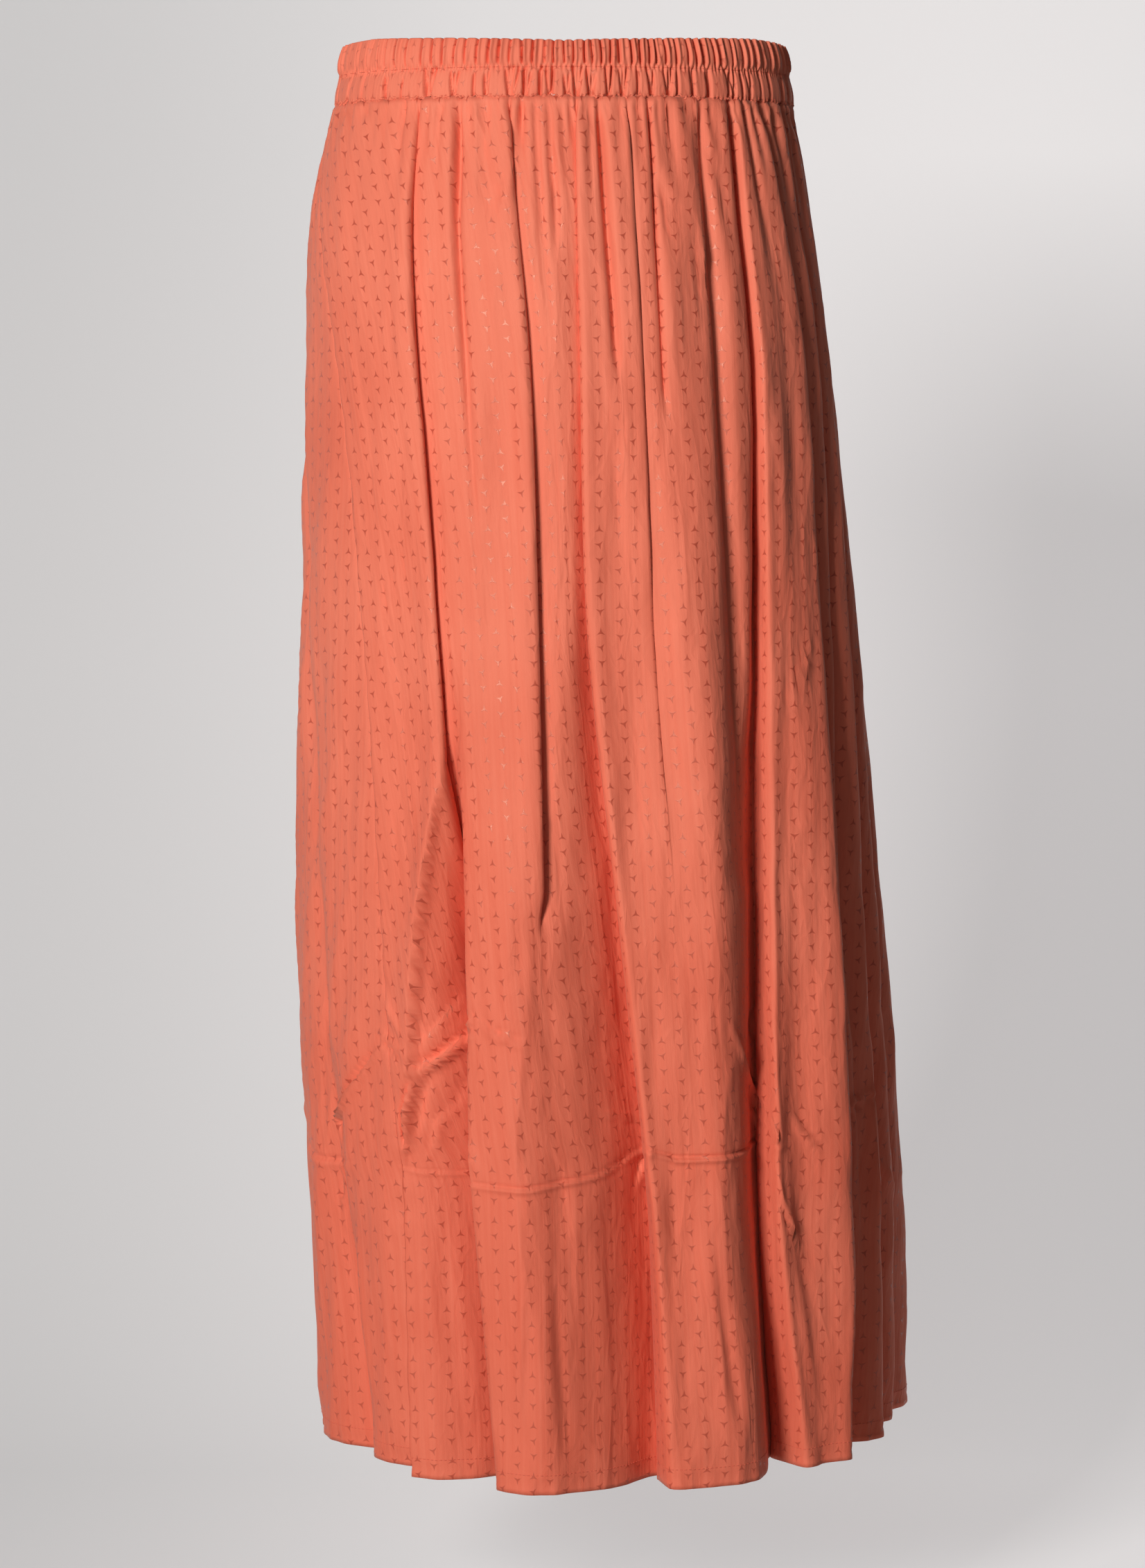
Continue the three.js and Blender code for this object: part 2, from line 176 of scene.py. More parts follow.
# The back panel is one length of coral viscose cut wider towards the hem. It is gathered into
# the waistband seam, sewn to the front panel down both sides, and turned up and stitched below.
SECTIONS = np.array([
    # drop, left, right, back, front, left side forward, right side forward, all in mm
    (0, 146, 147, 104, 108, 0, 0),
    (40, 153, 154, 110, 113, 0, 0),
    (70, 161, 160, 117, 116, 0, 0),
    (110, 169, 166, 126, 120, 0, 0),
    (200, 174, 180, 139, 124, 0, 0),
    (300, 176, 191, 144, 129, 0, 3),
    (400, 178, 202, 149, 136, 0, 8),
    (600, 180, 220, 160, 148, 0, 16),
    (800, 173, 236, 170, 156, 0, 30),
    (940, 166, 240, 177, 160, 0, 38),
], float)
STATIONS = np.array([45, 200, 380, 560, 750, 935], float)
TOP_DROP = 40
HEM_DROP = 940
WALL = 0.4
HEM_WALL = 0.9
# where the cloth starts under the band, how many columns a panel's cloth has, and the turns tried
# so that a fold is also found from the other side of the start of the round
CLOTH_TOP = 38.6
CLOTH_COLUMNS = 298
ALL_ROUND = (-360, 0, 360)
LEFT_SEAM = [-84, -60, -48, -42, -38, -38]
RIGHT_SEAM = [100, 103, 104, 107, 112, 118]
# A sunk plane left of the first fold: drops and degrees of its edge and of its line, drops and depths
PLANE_EDGE = ([474, 502, 589, 669], [-25.4, -26.5, -31.2, -33.4])
PLANE_LINE = ([468, 513, 558, 616, 660], [-24.1, -23.1, -22.8, -22.6, -21])
PLANE_DEPTH = ([455, 480, 560, 616, 655], [0, 8, 24, 31, 0])
# Each long fold at the six stations: degrees round from centre back, depth, how wide its left and
# right sides are, its lean (above 0 the left side laps over it), how much lower the cloth lies on
# its right (or on its left, below 0), and how far each layer runs past the other in a flat pleat.
# A fold that closes before the hem ends with that drop.
NONE = [0, 0, 0, 0, 0, 0]
BACK_FOLDS = [
    ([-37.7, -34.1, -27.8, -23.2, -18.7, -14.9], [7, 5, 4, 16, 54, 62], [1.7, 1.7, 1.8, 4, 26, 26],
     [2.0, 1.8, 1.8, 3, 3.2, 4.6], [0, 0, 0, 0, -0.33, -0.33], [5, 8, 9, 9, -7, -7],
     [2.8, 4.6, 5, 4, 3.6, 3.4]),
    ([-26, -22, -17, -13.5, -9, -7], [7, 4, 1, 0, 0, 0], [2.2, 2.6, 4, 8, 12, 12], [2.6, 3.4, 5, 8, 12, 12],
     NONE, [0.5, 1, 0, 0, 0, 0], NONE, 330),
    ([-13.1, -8, -5.8, -4.5, -3.8, -3], [7, 5, 4, 4, 4, 4], [1.6, 1.6, 1.6, 1.8, 6, 7],
     [2.0, 1.8, 2.0, 2.8, 7, 7],
     NONE, [5, 7, 8, 9, 6, 6], [2.8, 4.4, 4.8, 4.6, 4, 4], 578),
    ([3.2, 4, 5, 9.6, 14.1, 16], [5, 9, 13, 25, 37, 33], [1.8, 2.4, 5, 18, 25, 25],
     [1.8, 1.8, 2.0, 2.6, 3.4, 5],
     [0, -0.1, -0.25, -0.32, -0.32, -0.3], [-4, -6, -7, -7, -6, -6], [2.4, 3.4, 3.2, 3, 3, 3]),
    ([8.5, 11, 12, 15, 18.3, 21.5], [8, 5, 0, 0, 0, 0], [2.4, 3, 4, 8, 12, 12], [2.4, 3, 4, 8, 12, 12],
     NONE, [-1, -1, 0, 0, 0, 0], NONE, 230),
    ([15.5, 16, 16.5, 19, 22, 26], [6, 4, 2, 0, 0, 0], [1.5, 1.4, 1.6, 5, 9, 12], [1.8, 1.8, 2.2, 8, 12, 12],
     NONE, [2, 3, 2.4, 0.8, 0, 0], [2, 3, 2.4, 0.5, 0, 0]),
    ([21, 20.5, 21.5, 24, 26.5, 29.5], [8, 5, 1, 0, 0, 0], [2.0, 2.6, 7, 8, 12, 12],
     [2.0, 2.6, 7, 8, 12, 12],
     NONE, NONE, [1, 1.5, 0, 0, 0, 0], 250),
    ([35, 33.8, 33, 32, 32, 32], [6, 8, 10, 5, 0, 0], [2.6, 4, 8, 12, 12, 12], [3, 7, 9, 12, 12, 12],
     NONE, [0, -2, -2, 0, 0, 0], NONE, 560),
    ([45, 44.5, 41, 38, 35.6, 40.2], [13, 15, 17, 26, 34, 40], [2.4, 2.6, 6, 17, 21, 22],
     [1.8, 1.6, 1.8, 2.8, 3.6, 5],
     [0, -0.1, -0.2, -0.28, -0.28, -0.26], [-2, -4, -6, -6, -5, -5], [0, 1, 2, 2.6, 2.6, 2.6]),
    ([57, 60, 55.2, 51.8, 51, 50.5], [8, 9, 12, 30, 48, 64], [1.8, 1.7, 1.9, 2.4, 4, 7],
     [2.8, 3.6, 5, 8, 14, 17],
     [0.1, 0.1, 0.15, 0.2, 0.25, 0.3], [4, 8, 11, 13, 12, 9], [2.5, 3.6, 4, 3.5, 2, 0]),
    ([69, 70, 63, 59.5, 60.5, 61], [8, 9, 9, 7, 4, 2], [2.2, 2.2, 2.8, 5, 8, 10], [3.4, 5, 7, 9, 12, 12],
     [0.1, 0.1, 0.15, 0, 0, 0], [3, 4, 5, 4, 2, 0], [1.5, 2.5, 2.5, 1, 0, 0]),
    ([80, 80, 72, 69, 68.5, 69.5], [8, 10, 12, 17, 28, 38], [2.4, 2.4, 3, 5, 8, 11], [4, 6, 9, 12, 17, 20],
     [0.1, 0.1, 0.15, 0.1, 0.1, 0.1], [2, 4, 6, 7, 6, 4], [1.5, 2.5, 2.5, 2, 1, 0]),
    ([90, 91, 87, 84, 83, 84], [8, 12, 14, 14, 14, 14], [4, 6, 8, 11, 14, 16], [4, 6, 8, 11, 14, 16],
     NONE, NONE, NONE),
]
FRONT_FOLDS = [
    ([112, 116, 119, 124, 130, 136], [8, 12, 16, 20, 28, 34], [4, 7, 9, 12, 20, 24], [3, 4, 4, 5, 7, 11],
     NONE, NONE, NONE),
    ([124, 128, 131, 137, 144, 151], [8, 9, 6, 3, 0, 0], [3, 4, 6, 8, 11, 12], [3, 4, 6, 8, 11, 12],
     NONE, [0, 1, 1, 0, 0, 0], NONE, 520),
    ([136, 140, 144, 150, 158, 165], [8, 7, 8, 20, 38, 46], [2, 1.9, 2, 3.4, 7, 11],
     [2.4, 2.6, 4, 12, 20, 24],
     [0, 0, 0, 0.1, 0.1, 0.1], [3, 5, 6, 6, 3, 0], [2.6, 4, 4.2, 3, 0, 0]),
    ([161, 164, 168, 176, 184, 192], [9, 12, 16, 21, 32, 40], [3, 4, 7, 16, 28, 30], [1.8, 1.8, 2, 3, 5, 8],
     [0, -0.1, -0.15, -0.15, -0.15, -0.15], [-2, -4, -5, -4, 0, 0], [0, 1, 1, 0, 0, 0]),
    ([173, 176, 181, 189, 197, 205], [7, 8, 4, 2, 0, 0], [2, 2.4, 5, 8, 11, 12], [2, 2.6, 6, 8, 11, 12],
     NONE, [0, 2, 1, 0, 0, 0], [0, 2, 1, 0, 0, 0], 430),
    ([185, 188, 194, 202, 210, 218], [8, 7, 8, 20, 36, 44], [2, 1.8, 2, 3.4, 7, 11],
     [2.4, 2.6, 4, 12, 22, 26],
     [0, 0, 0, 0.1, 0.1, 0.1], [3, 5, 6, 7, 3, 0], [2.6, 4.2, 4.4, 3, 0, 0]),
    ([209, 213, 220, 228, 236, 243], [9, 13, 16, 23, 34, 40], [3, 4, 7, 16, 26, 28], [1.8, 1.8, 2, 3, 5, 8],
     [0, -0.1, -0.15, -0.15, -0.1, -0.1], [-2, -4, -5, -4, 0, 0], [0, 1, 1, 0, 0, 0]),
    ([221, 226, 233, 241, 249, 256], [7, 8, 7, 5, 3, 0], [2.6, 4, 6, 8, 11, 12], [2.6, 4, 6, 8, 11, 12],
     NONE, NONE, NONE, 600),
    ([233, 239, 247, 255, 262, 269], [8, 9, 10, 12, 15, 18], [2.4, 2.6, 3.4, 6, 14, 16],
     [3, 4, 5, 7, 11, 14],
     NONE, [2, 3, 3, 2, 0, 0], [1.5, 2.5, 2.5, 1, 0, 0]),
    ([258, 270, 283, 292, 299, 304], [6, 5, 5, 6, 10, 15], [5, 7, 10, 13, 16, 18], [5, 7, 9, 11, 13, 15],
     NONE, NONE, NONE),
]
SWELLS = [
    ([22, 25, 26, 26.5, 28, 30], [1, 6, 17, 20, 18, 15], 34),
    ([50, 50, 49, 48.5, 48.5, 49], [0, 2, 6, 12, 14, 9], 20),
    ([-20, -18, -14, -11, -8, -4], [0, 0, 4, 10, 11, 10], 27),
]
HEM_RISE = np.array([(-38, 0), (20, 0), (55, 6), (118, 9), (200, 7), (322, 7)], float)


def through(at, knots, values):
    """A smooth curve through the values, which never swings past them."""
    knots, values = np.asarray(knots, float), np.asarray(values, float)
    slope = np.diff(values) / np.diff(knots)
    inner = np.where(slope[:-1] * slope[1:] > 0, (slope[:-1] + slope[1:]) / 2, 0)
    tangent = np.concatenate([slope[:1], inner, slope[-1:]])
    at = np.clip(at, knots[0], knots[-1])
    i = np.clip(np.searchsorted(knots, at, side="right") - 1, 0, len(knots) - 2)
    gap = knots[i + 1] - knots[i]
    t = (at - knots[i]) / gap
    return ((2 * t ** 3 - 3 * t ** 2 + 1) * values[i] + (t ** 3 - 2 * t ** 2 + t) * gap * tangent[i]
            + (3 * t ** 2 - 2 * t ** 3) * values[i + 1] + (t ** 3 - t ** 2) * gap * tangent[i + 1])


def smooth(low, high, value):
    t = np.clip((value - low) / (high - low), 0, 1)
    return t * t * (3 - 2 * t)


def plain_section(degrees, drop):
    """The skirt without its folds: a point, its outward normal and its tangent, in mm."""
    turn = np.radians(degrees)
    on_right, at_back = np.sin(turn) >= 0, np.cos(turn) >= 0
    left, right, back, front, left_y, right_y = (
        through(drop, SECTIONS[:, 0], SECTIONS[:, k]) for k in range(1, 7))
    half_width = np.where(on_right, right, left)
    side_y = np.where(on_right, right_y, left_y)
    depth = np.where(at_back, back + side_y, front - side_y)
    point = np.stack([half_width * np.sin(turn), side_y - depth * np.cos(turn)], -1)
    step = np.stack([half_width * np.cos(turn), depth * np.sin(turn)], -1)
    tangent = step / np.linalg.norm(step, axis=-1, keepdims=True)
    normal = np.stack([tangent[..., 1], -tangent[..., 0]], -1)
    return point, normal, tangent


# The way round the plain section from centre back, in mm, at each drop and degree
RING_DEGREES = np.arange(-420, 781, 1.0)
RING_DROPS = np.arange(0, 951, 10.0)
_points, _, _ = plain_section(RING_DEGREES[None, :], RING_DROPS[:, None])
_steps = np.linalg.norm(np.diff(_points, axis=1), axis=-1)
RING_ARC = np.concatenate([np.zeros((len(RING_DROPS), 1)), np.cumsum(_steps, 1)], 1)
RING_ARC -= RING_ARC[:, [int(np.searchsorted(RING_DEGREES, 0))]]


def arc_at(degrees, drop):
    """How far round from centre back an angle is at a drop."""
    row = np.clip(np.asarray(drop, float) / 10, 0, len(RING_DROPS) - 1.001)
    column = np.clip(np.asarray(degrees, float) - RING_DEGREES[0], 0, len(RING_DEGREES) - 1.001)
    r, c = row.astype(int), column.astype(int)
    fr, fc = row - r, column - c
    return ((1 - fr) * ((1 - fc) * RING_ARC[r, c] + fc * RING_ARC[r, c + 1])
            + fr * ((1 - fc) * RING_ARC[r + 1, c] + fc * RING_ARC[r + 1, c + 1]))


def degrees_at(arc, drop):
    """The angle that lies this far round, for rows of places at one drop each."""
    found = np.empty_like(arc)
    for i, level in enumerate(drop):
        found[i] = np.interp(arc[i], arc_at(RING_DEGREES, level), RING_DEGREES)
    return found


def fold_shape(fold, drop):
    """A fold at each drop: how far round its groove is, its depth, its two widths, its lean, how
    much lower one side lies and how far its layers overlap."""
    degrees, depth, left_width, right_width, lean, lower, over = (through(drop, STATIONS,
                                                                          v) for v in fold[:7])
    there = smooth(40, 62, drop)
    if len(fold) > 7:
        there = there * (1 - smooth(fold[7] - 30, fold[7], drop))
    deep = depth * (0.3 * (1 - smooth(40, 62, drop)) + there)
    shift = (0.37 * lean * deep
             + np.clip(lean / 0.25, -1, 1) * np.where(lean > 0, left_width, right_width) * 0.5)
    return arc_at(degrees, drop) + shift, deep, left_width, right_width, lean, lower * there, over * there


def crease_heights(creases, arc, drop):
    """How far the given creases lift or sink the cloth. A crease is a path of (degrees, drop), its height,
    its width and its sort: a ridge, a trough, a lap over a narrow trough, or a raised edge."""
    lift = np.zeros_like(arc)
    for path, height, width, sort in creases:
        spots = np.array([(float(arc_at(d, p)), p) for d, p in path])
        lengths = np.linalg.norm(np.diff(spots, axis=0), axis=1)
        total, gone = lengths.sum(), 0
        near = np.full(arc.shape, 1e9)
        signed, share = np.zeros_like(arc), np.zeros_like(arc)
        for a, b, length in zip(spots[:-1], spots[1:], lengths):
            way = (b - a) / length
            across, up = arc - a[0], drop - a[1]
            t = np.clip(across * way[0] + up * way[1], 0, length)
            far = np.hypot(across - t * way[0], up - t * way[1])
            side = np.sign(across * way[1] - up * way[0])
            nearer = far < near
            near = np.where(nearer, far, near)
            signed = np.where(nearer, far * side, signed)
            share = np.where(nearer, (gone + t) / total, share)
            gone += length
        taper = np.sqrt(np.clip(np.sin(np.pi * np.clip(share, 0.02, 0.98)), 0, 1))
        if sort == "lap":
            shape = (0.9 * np.exp(-((signed - 0.9 * width) / (1.1 * width)) ** 2)
                     - np.exp(-((signed + 0.25 * width) / (0.55 * width)) ** 2))
        elif sort == "lap_back":
            shape = (0.9 * np.exp(-((signed + 0.9 * width) / (1.1 * width)) ** 2)
                     - np.exp(-((signed - 0.25 * width) / (0.55 * width)) ** 2))
        elif sort == "trough":
            shape = -np.exp(-(signed / width) ** 2)
        elif sort == "edge":
            shape = (smooth(-0.5 * width, 0.5 * width, signed)
                     * np.exp(-(np.clip(signed, 0, None) / (9 * width)) ** 1.5))
        else:
            shape = np.exp(-(signed / width) ** 2)
        lift += height * taper * shape
    return lift


def uneven(across, down, across_pitch, down_pitch, random):
    """Smooth random heights from about -1 to 1, on a grid of knots of the given pitch in mm."""
    knots = random.uniform(-1, 1, (64, 256))
    u, v = across / across_pitch + 128.5, down / down_pitch + 3
    i, j = np.floor(u).astype(int), np.floor(v).astype(int)
    fu, fv = smooth(0, 1, u - i), smooth(0, 1, v - j)
    i, j = i % 255, j % 63
    return ((1 - fv) * ((1 - fu) * knots[j, i] + fu * knots[j, i + 1])
            + fv * ((1 - fu) * knots[j + 1, i] + fu * knots[j + 1, i + 1]))


def hang_cloth(folds, seams, first_turn, row_drops, columns, gathers, ripples, creases, seed):
    """One panel's outer face as rows of points from the seam at the waistband to the hem."""
    random = np.random.default_rng(seed)
    level = row_drops
    seam_tracks = [arc_at(through(level, STATIONS, s) + turn, level) for s, turn in zip(seams, first_turn)]
    fold_tracks = [fold_shape(f, level)[0] for f in folds]
    tracks = np.stack([seam_tracks[0], *fold_tracks, seam_tracks[1]], 1)
    widths = np.diff(tracks, axis=1).mean(0)
    counts = np.maximum(5, np.round(columns * widths / widths.sum()).astype(int))
    arc = []
    for i, count in enumerate(counts):
        t = np.arange(count) / count
        t = t - 0.62 * np.sin(2 * np.pi * t) / (2 * np.pi)
        arc.append(tracks[:, [i]] * (1 - t) + tracks[:, [i + 1]] * t)
    arc = np.concatenate(arc + [tracks[:, [-1]]], 1)
    from_seam = np.minimum(arc - arc[:, :1], arc[:, -1:] - arc)
    degrees = degrees_at(arc, level)
    hem = HEM_DROP - np.interp(degrees[-1], HEM_RISE[:, 0], HEM_RISE[:, 1])
    low = np.clip((level - 700) / (HEM_DROP - 700), 0, 1) ** 2
    drop = level[:, None] + low[:, None] * (hem[None, :] - HEM_DROP)
    drop = drop + 1.1 * uneven(arc, 0 * arc, 5, 400, random) * (1 - smooth(39, 50, level))[:, None]
    point, normal, tangent = plain_section(degrees, drop)
    along = np.zeros_like(arc)
    # between its folds the cloth is nearly flat, with slow uneven swells and finer upright crumples
    calm = smooth(0, 26, from_seam)
    out = 2.2 * uneven(arc, drop, 34, 230, random) * smooth(60, 260, drop) * calm
    out += 1.2 * uneven(arc, drop, 13, 95, random) * smooth(44, 130, drop) * calm
    out += 0.55 * uneven(arc, drop, 6.2, 42, random) * smooth(44, 80, drop) * calm
    out += 0.42 * uneven(arc + 0.25 * drop, drop, 17, 21, random) * smooth(90, 160, drop) * calm
    # narrow ridges wander down it where it was folded and sat in
    worn = smooth(90, 240, drop) * (0.55 + 0.45 * smooth(440, 700, drop)) * calm
    out += 1.5 * (1 - np.abs(uneven(arc, drop, 25, 120, random))) ** 3 * worn
    out -= 1.1 * (1 - np.abs(uneven(arc - 0.12 * drop, drop, 22, 85, random))) ** 3 * worn
    # broad swells: degrees at the stations, heights, width
    for degrees_round, heights, wide in SWELLS:
        for turn in ALL_ROUND:
            middle = arc_at(through(level, STATIONS, degrees_round) + turn, level)[:, None]
            out += through(level, STATIONS, heights)[:, None] * np.exp(-((arc - middle) / wide) ** 2)
    # left of the first long fold a plane sinks from the left layer's edge to the fold's line
    for turn in ALL_ROUND:
        edge = arc_at(through(level, *PLANE_EDGE) + turn, level)[:, None]
        line = arc_at(through(level, *PLANE_LINE) + turn, level)[:, None]
        sunk = through(level, *PLANE_DEPTH)[:, None]
        share = np.clip((arc - edge) / np.maximum(line - edge, 4), 0, 1)
        out -= sunk * np.where(arc < line, share, np.exp(-((arc - line) / 3.4) ** 2))
    for fold in BACK_FOLDS + FRONT_FOLDS:
        for turn in ALL_ROUND:
            moved = ([d + turn for d in fold[0]], *fold[1:])
            centre, deep, left_width, right_width, lean, lower, over = (v[:,
                None] for v in fold_shape(moved, level))
            if centre.max() < arc.min() - 90 or centre.min() > arc.max() + 90:
                continue
            away = arc - centre
            wide = np.where(away < 0, left_width, right_width)
            bell = deep * np.exp(-(np.abs(away) / wide) ** (2 - 0.5 * smooth(5, 15, wide)))
            out -= bell
            along -= lean * bell
            reach = through(level, STATIONS, [8, 10, 12, 15, 18, 18])[:, None]
            out -= 0.5 * lower * np.tanh(away / 1.3) * np.exp(-(np.abs(away) / reach) ** 1.5)
            along -= 2.33 * over * (away / 2.6) * np.exp(-(away / 2.6) ** 2)
    # the cloth puffs out under the band's seam, between short gathers sewn in there
    bumps = uneven(arc, drop, 6, 400, random) + 0.7 * uneven(arc, drop, 2.7, 400, random)
    out += ((0.9 + 0.7 * bumps) * smooth(CLOTH_TOP, 42.5, drop) * (1 - smooth(48, 90, drop))
            - 0.7 * (1 - smooth(38.5, 40.0, drop)))
    top_degrees = degrees[0]
    for at, deep, wide, length, drift in gathers:
        column = int(np.argmin(np.abs(top_degrees - at)))
        if abs(top_degrees[column] - at) > 2:
            continue
        gone = np.clip((level - TOP_DROP) / length, 0, 1)
        centre = arc[:, column] + drift * gone ** 1.4
        spread = wide * (1 + 1.5 * gone)
        shape = deep * smooth(CLOTH_TOP, 46, level) * (1 - smooth(0.2, 1, gone))
        out -= (shape[:, None] * np.exp(-((arc - centre[:, None]) / spread[:, None]) ** 2)
                * smooth(1, 8, from_seam))
    # long soft ripples down the cloth
    for gap, share, height, wide, start, end in ripples:
        centre = tracks[:, gap] * (1 - share) + tracks[:, gap + 1] * share
        centre = centre + 2.5 * np.sin(level / 90 + share * 9)
        shape = height * np.sin(np.pi * np.clip((level - start) / (end - start), 0, 1)) ** 1.3
        out += shape[:, None] * np.exp(-((arc - centre[:, None]) / wide) ** 2) * smooth(2, 14, from_seam)
    for path, height, width, sort in creases:
        for turn in ALL_ROUND:
            turned = [(d + turn, p) for d, p in path]
            if (degrees.min() - 8 < turned[0][0] < degrees.max() + 8
                    or degrees.min() - 8 < turned[-1][0] < degrees.max() + 8):
                out += crease_heights([(turned, height, width, sort)], arc, drop)
    # the side seams pull in and pucker a little
    side = from_seam
    out -= 0.5 * np.exp(-(side / 1.6) ** 2) * smooth(60, 110, drop)
    out += 0.6 * np.sin(drop / 5.3 + 2 * np.sin(drop / 31)) * np.exp(-(side / 8) ** 2) * smooth(90, 160,
                                                                                                drop)
    # the turned hem: a stitched groove and a slightly wavy edge
    above = hem[None, :] - drop
    out -= 0.5 * np.exp(-((above - 6.4) / 1.1) ** 2)
    phases = random.uniform(0, 6.28, 3)
    edge_wave = (0.9 * np.sin(arc / 8.7 + phases[0]) + 0.7 * np.sin(arc / 5.1 + phases[1])
                 + 0.5 * np.sin(arc / 3.1 + phases[2]))
    out += 0.45 * edge_wave * np.exp(-(np.clip(above, 0, None) / 9) ** 2) * smooth(0, 8, from_seam)
    outer = np.concatenate([point + normal * out[..., None] + tangent * along[..., None],
                            (20 - drop)[..., None]], -1)
    return outer / 1000, drop / 1000, above / 1000


def face_normals(outer, ring=False):
    """The outward direction at each point of a grid of rows and columns."""
    if ring:
        across = np.roll(outer, -1, 1) - np.roll(outer, 1, 1)
    else:
        across = np.gradient(outer, axis=1)
    downward = np.gradient(outer, axis=0)
    normals = np.cross(downward, across)
    return normals / np.maximum(np.linalg.norm(normals, axis=-1, keepdims=True), 1e-12)


def settled_width(outer):
    """The cloth's own measure across at each point, evened out down the rows, from its middle."""
    steps = np.linalg.norm(np.diff(outer, axis=1), axis=-1)
    reach = 60
    weights = np.exp(-(np.arange(-reach, reach + 1) / 30.0) ** 2)
    padded = np.concatenate([steps[:1].repeat(reach, 0), steps, steps[-1:].repeat(reach, 0)])
    even = sum(w * padded[i:i + len(steps)] for i, w in enumerate(weights)) / weights.sum()
    across = np.concatenate([np.zeros((len(outer), 1)), np.cumsum(even, 1)], 1)
    return across - across[:, [across.shape[1] // 2]]


def closed_cloth(name, outer, wall, across, down):
    """A closed thin cloth from its outer face and wall, with its own measures as its UV map."""
    rows, columns, _ = outer.shape
    inner = outer - face_normals(outer) * wall[..., None]
    points = np.concatenate([outer.reshape(-1, 3), inner.reshape(-1, 3)])
    place = np.arange(rows * columns).reshape(rows, columns)
    inside = place + rows * columns
    quads = [
        np.stack([place[:-1, :-1], place[1:, :-1], place[1:, 1:], place[:-1, 1:]], -1).reshape(-1, 4),
        np.stack([inside[:-1, :-1], inside[:-1, 1:], inside[1:, 1:], inside[1:, :-1]], -1).reshape(-1, 4),
        np.stack([place[:-1, 0], inside[:-1, 0], inside[1:, 0], place[1:, 0]], -1),
        np.stack([place[:-1, -1], place[1:, -1], inside[1:, -1], inside[:-1, -1]], -1),
        np.stack([place[0, :-1], place[0, 1:], inside[0, 1:], inside[0, :-1]], -1),
        np.stack([place[-1, :-1], inside[-1, :-1], inside[-1, 1:], place[-1, 1:]], -1),
    ]
    return sewn_mesh(name, points, np.concatenate(quads), np.tile(across.ravel(), 2),
                     np.tile(down.ravel(), 2))


def sewn_mesh(name, points, quads, across, down):
    mesh = bpy.data.meshes.new(name)
    mesh.from_pydata(points.tolist(), [], quads.tolist())
    corners = np.empty(len(mesh.loops), np.int32)
    mesh.loops.foreach_get("vertex_index", corners)
    chart = mesh.uv_layers.new(name="cloth_measure")
    chart.data.foreach_set("uv", np.stack([across[corners], down[corners]], -1).astype(np.float32).ravel())
    mesh.shade_smooth()
    piece = bpy.data.objects.new(name, mesh)
    bpy.context.scene.collection.objects.link(piece)
    return piece


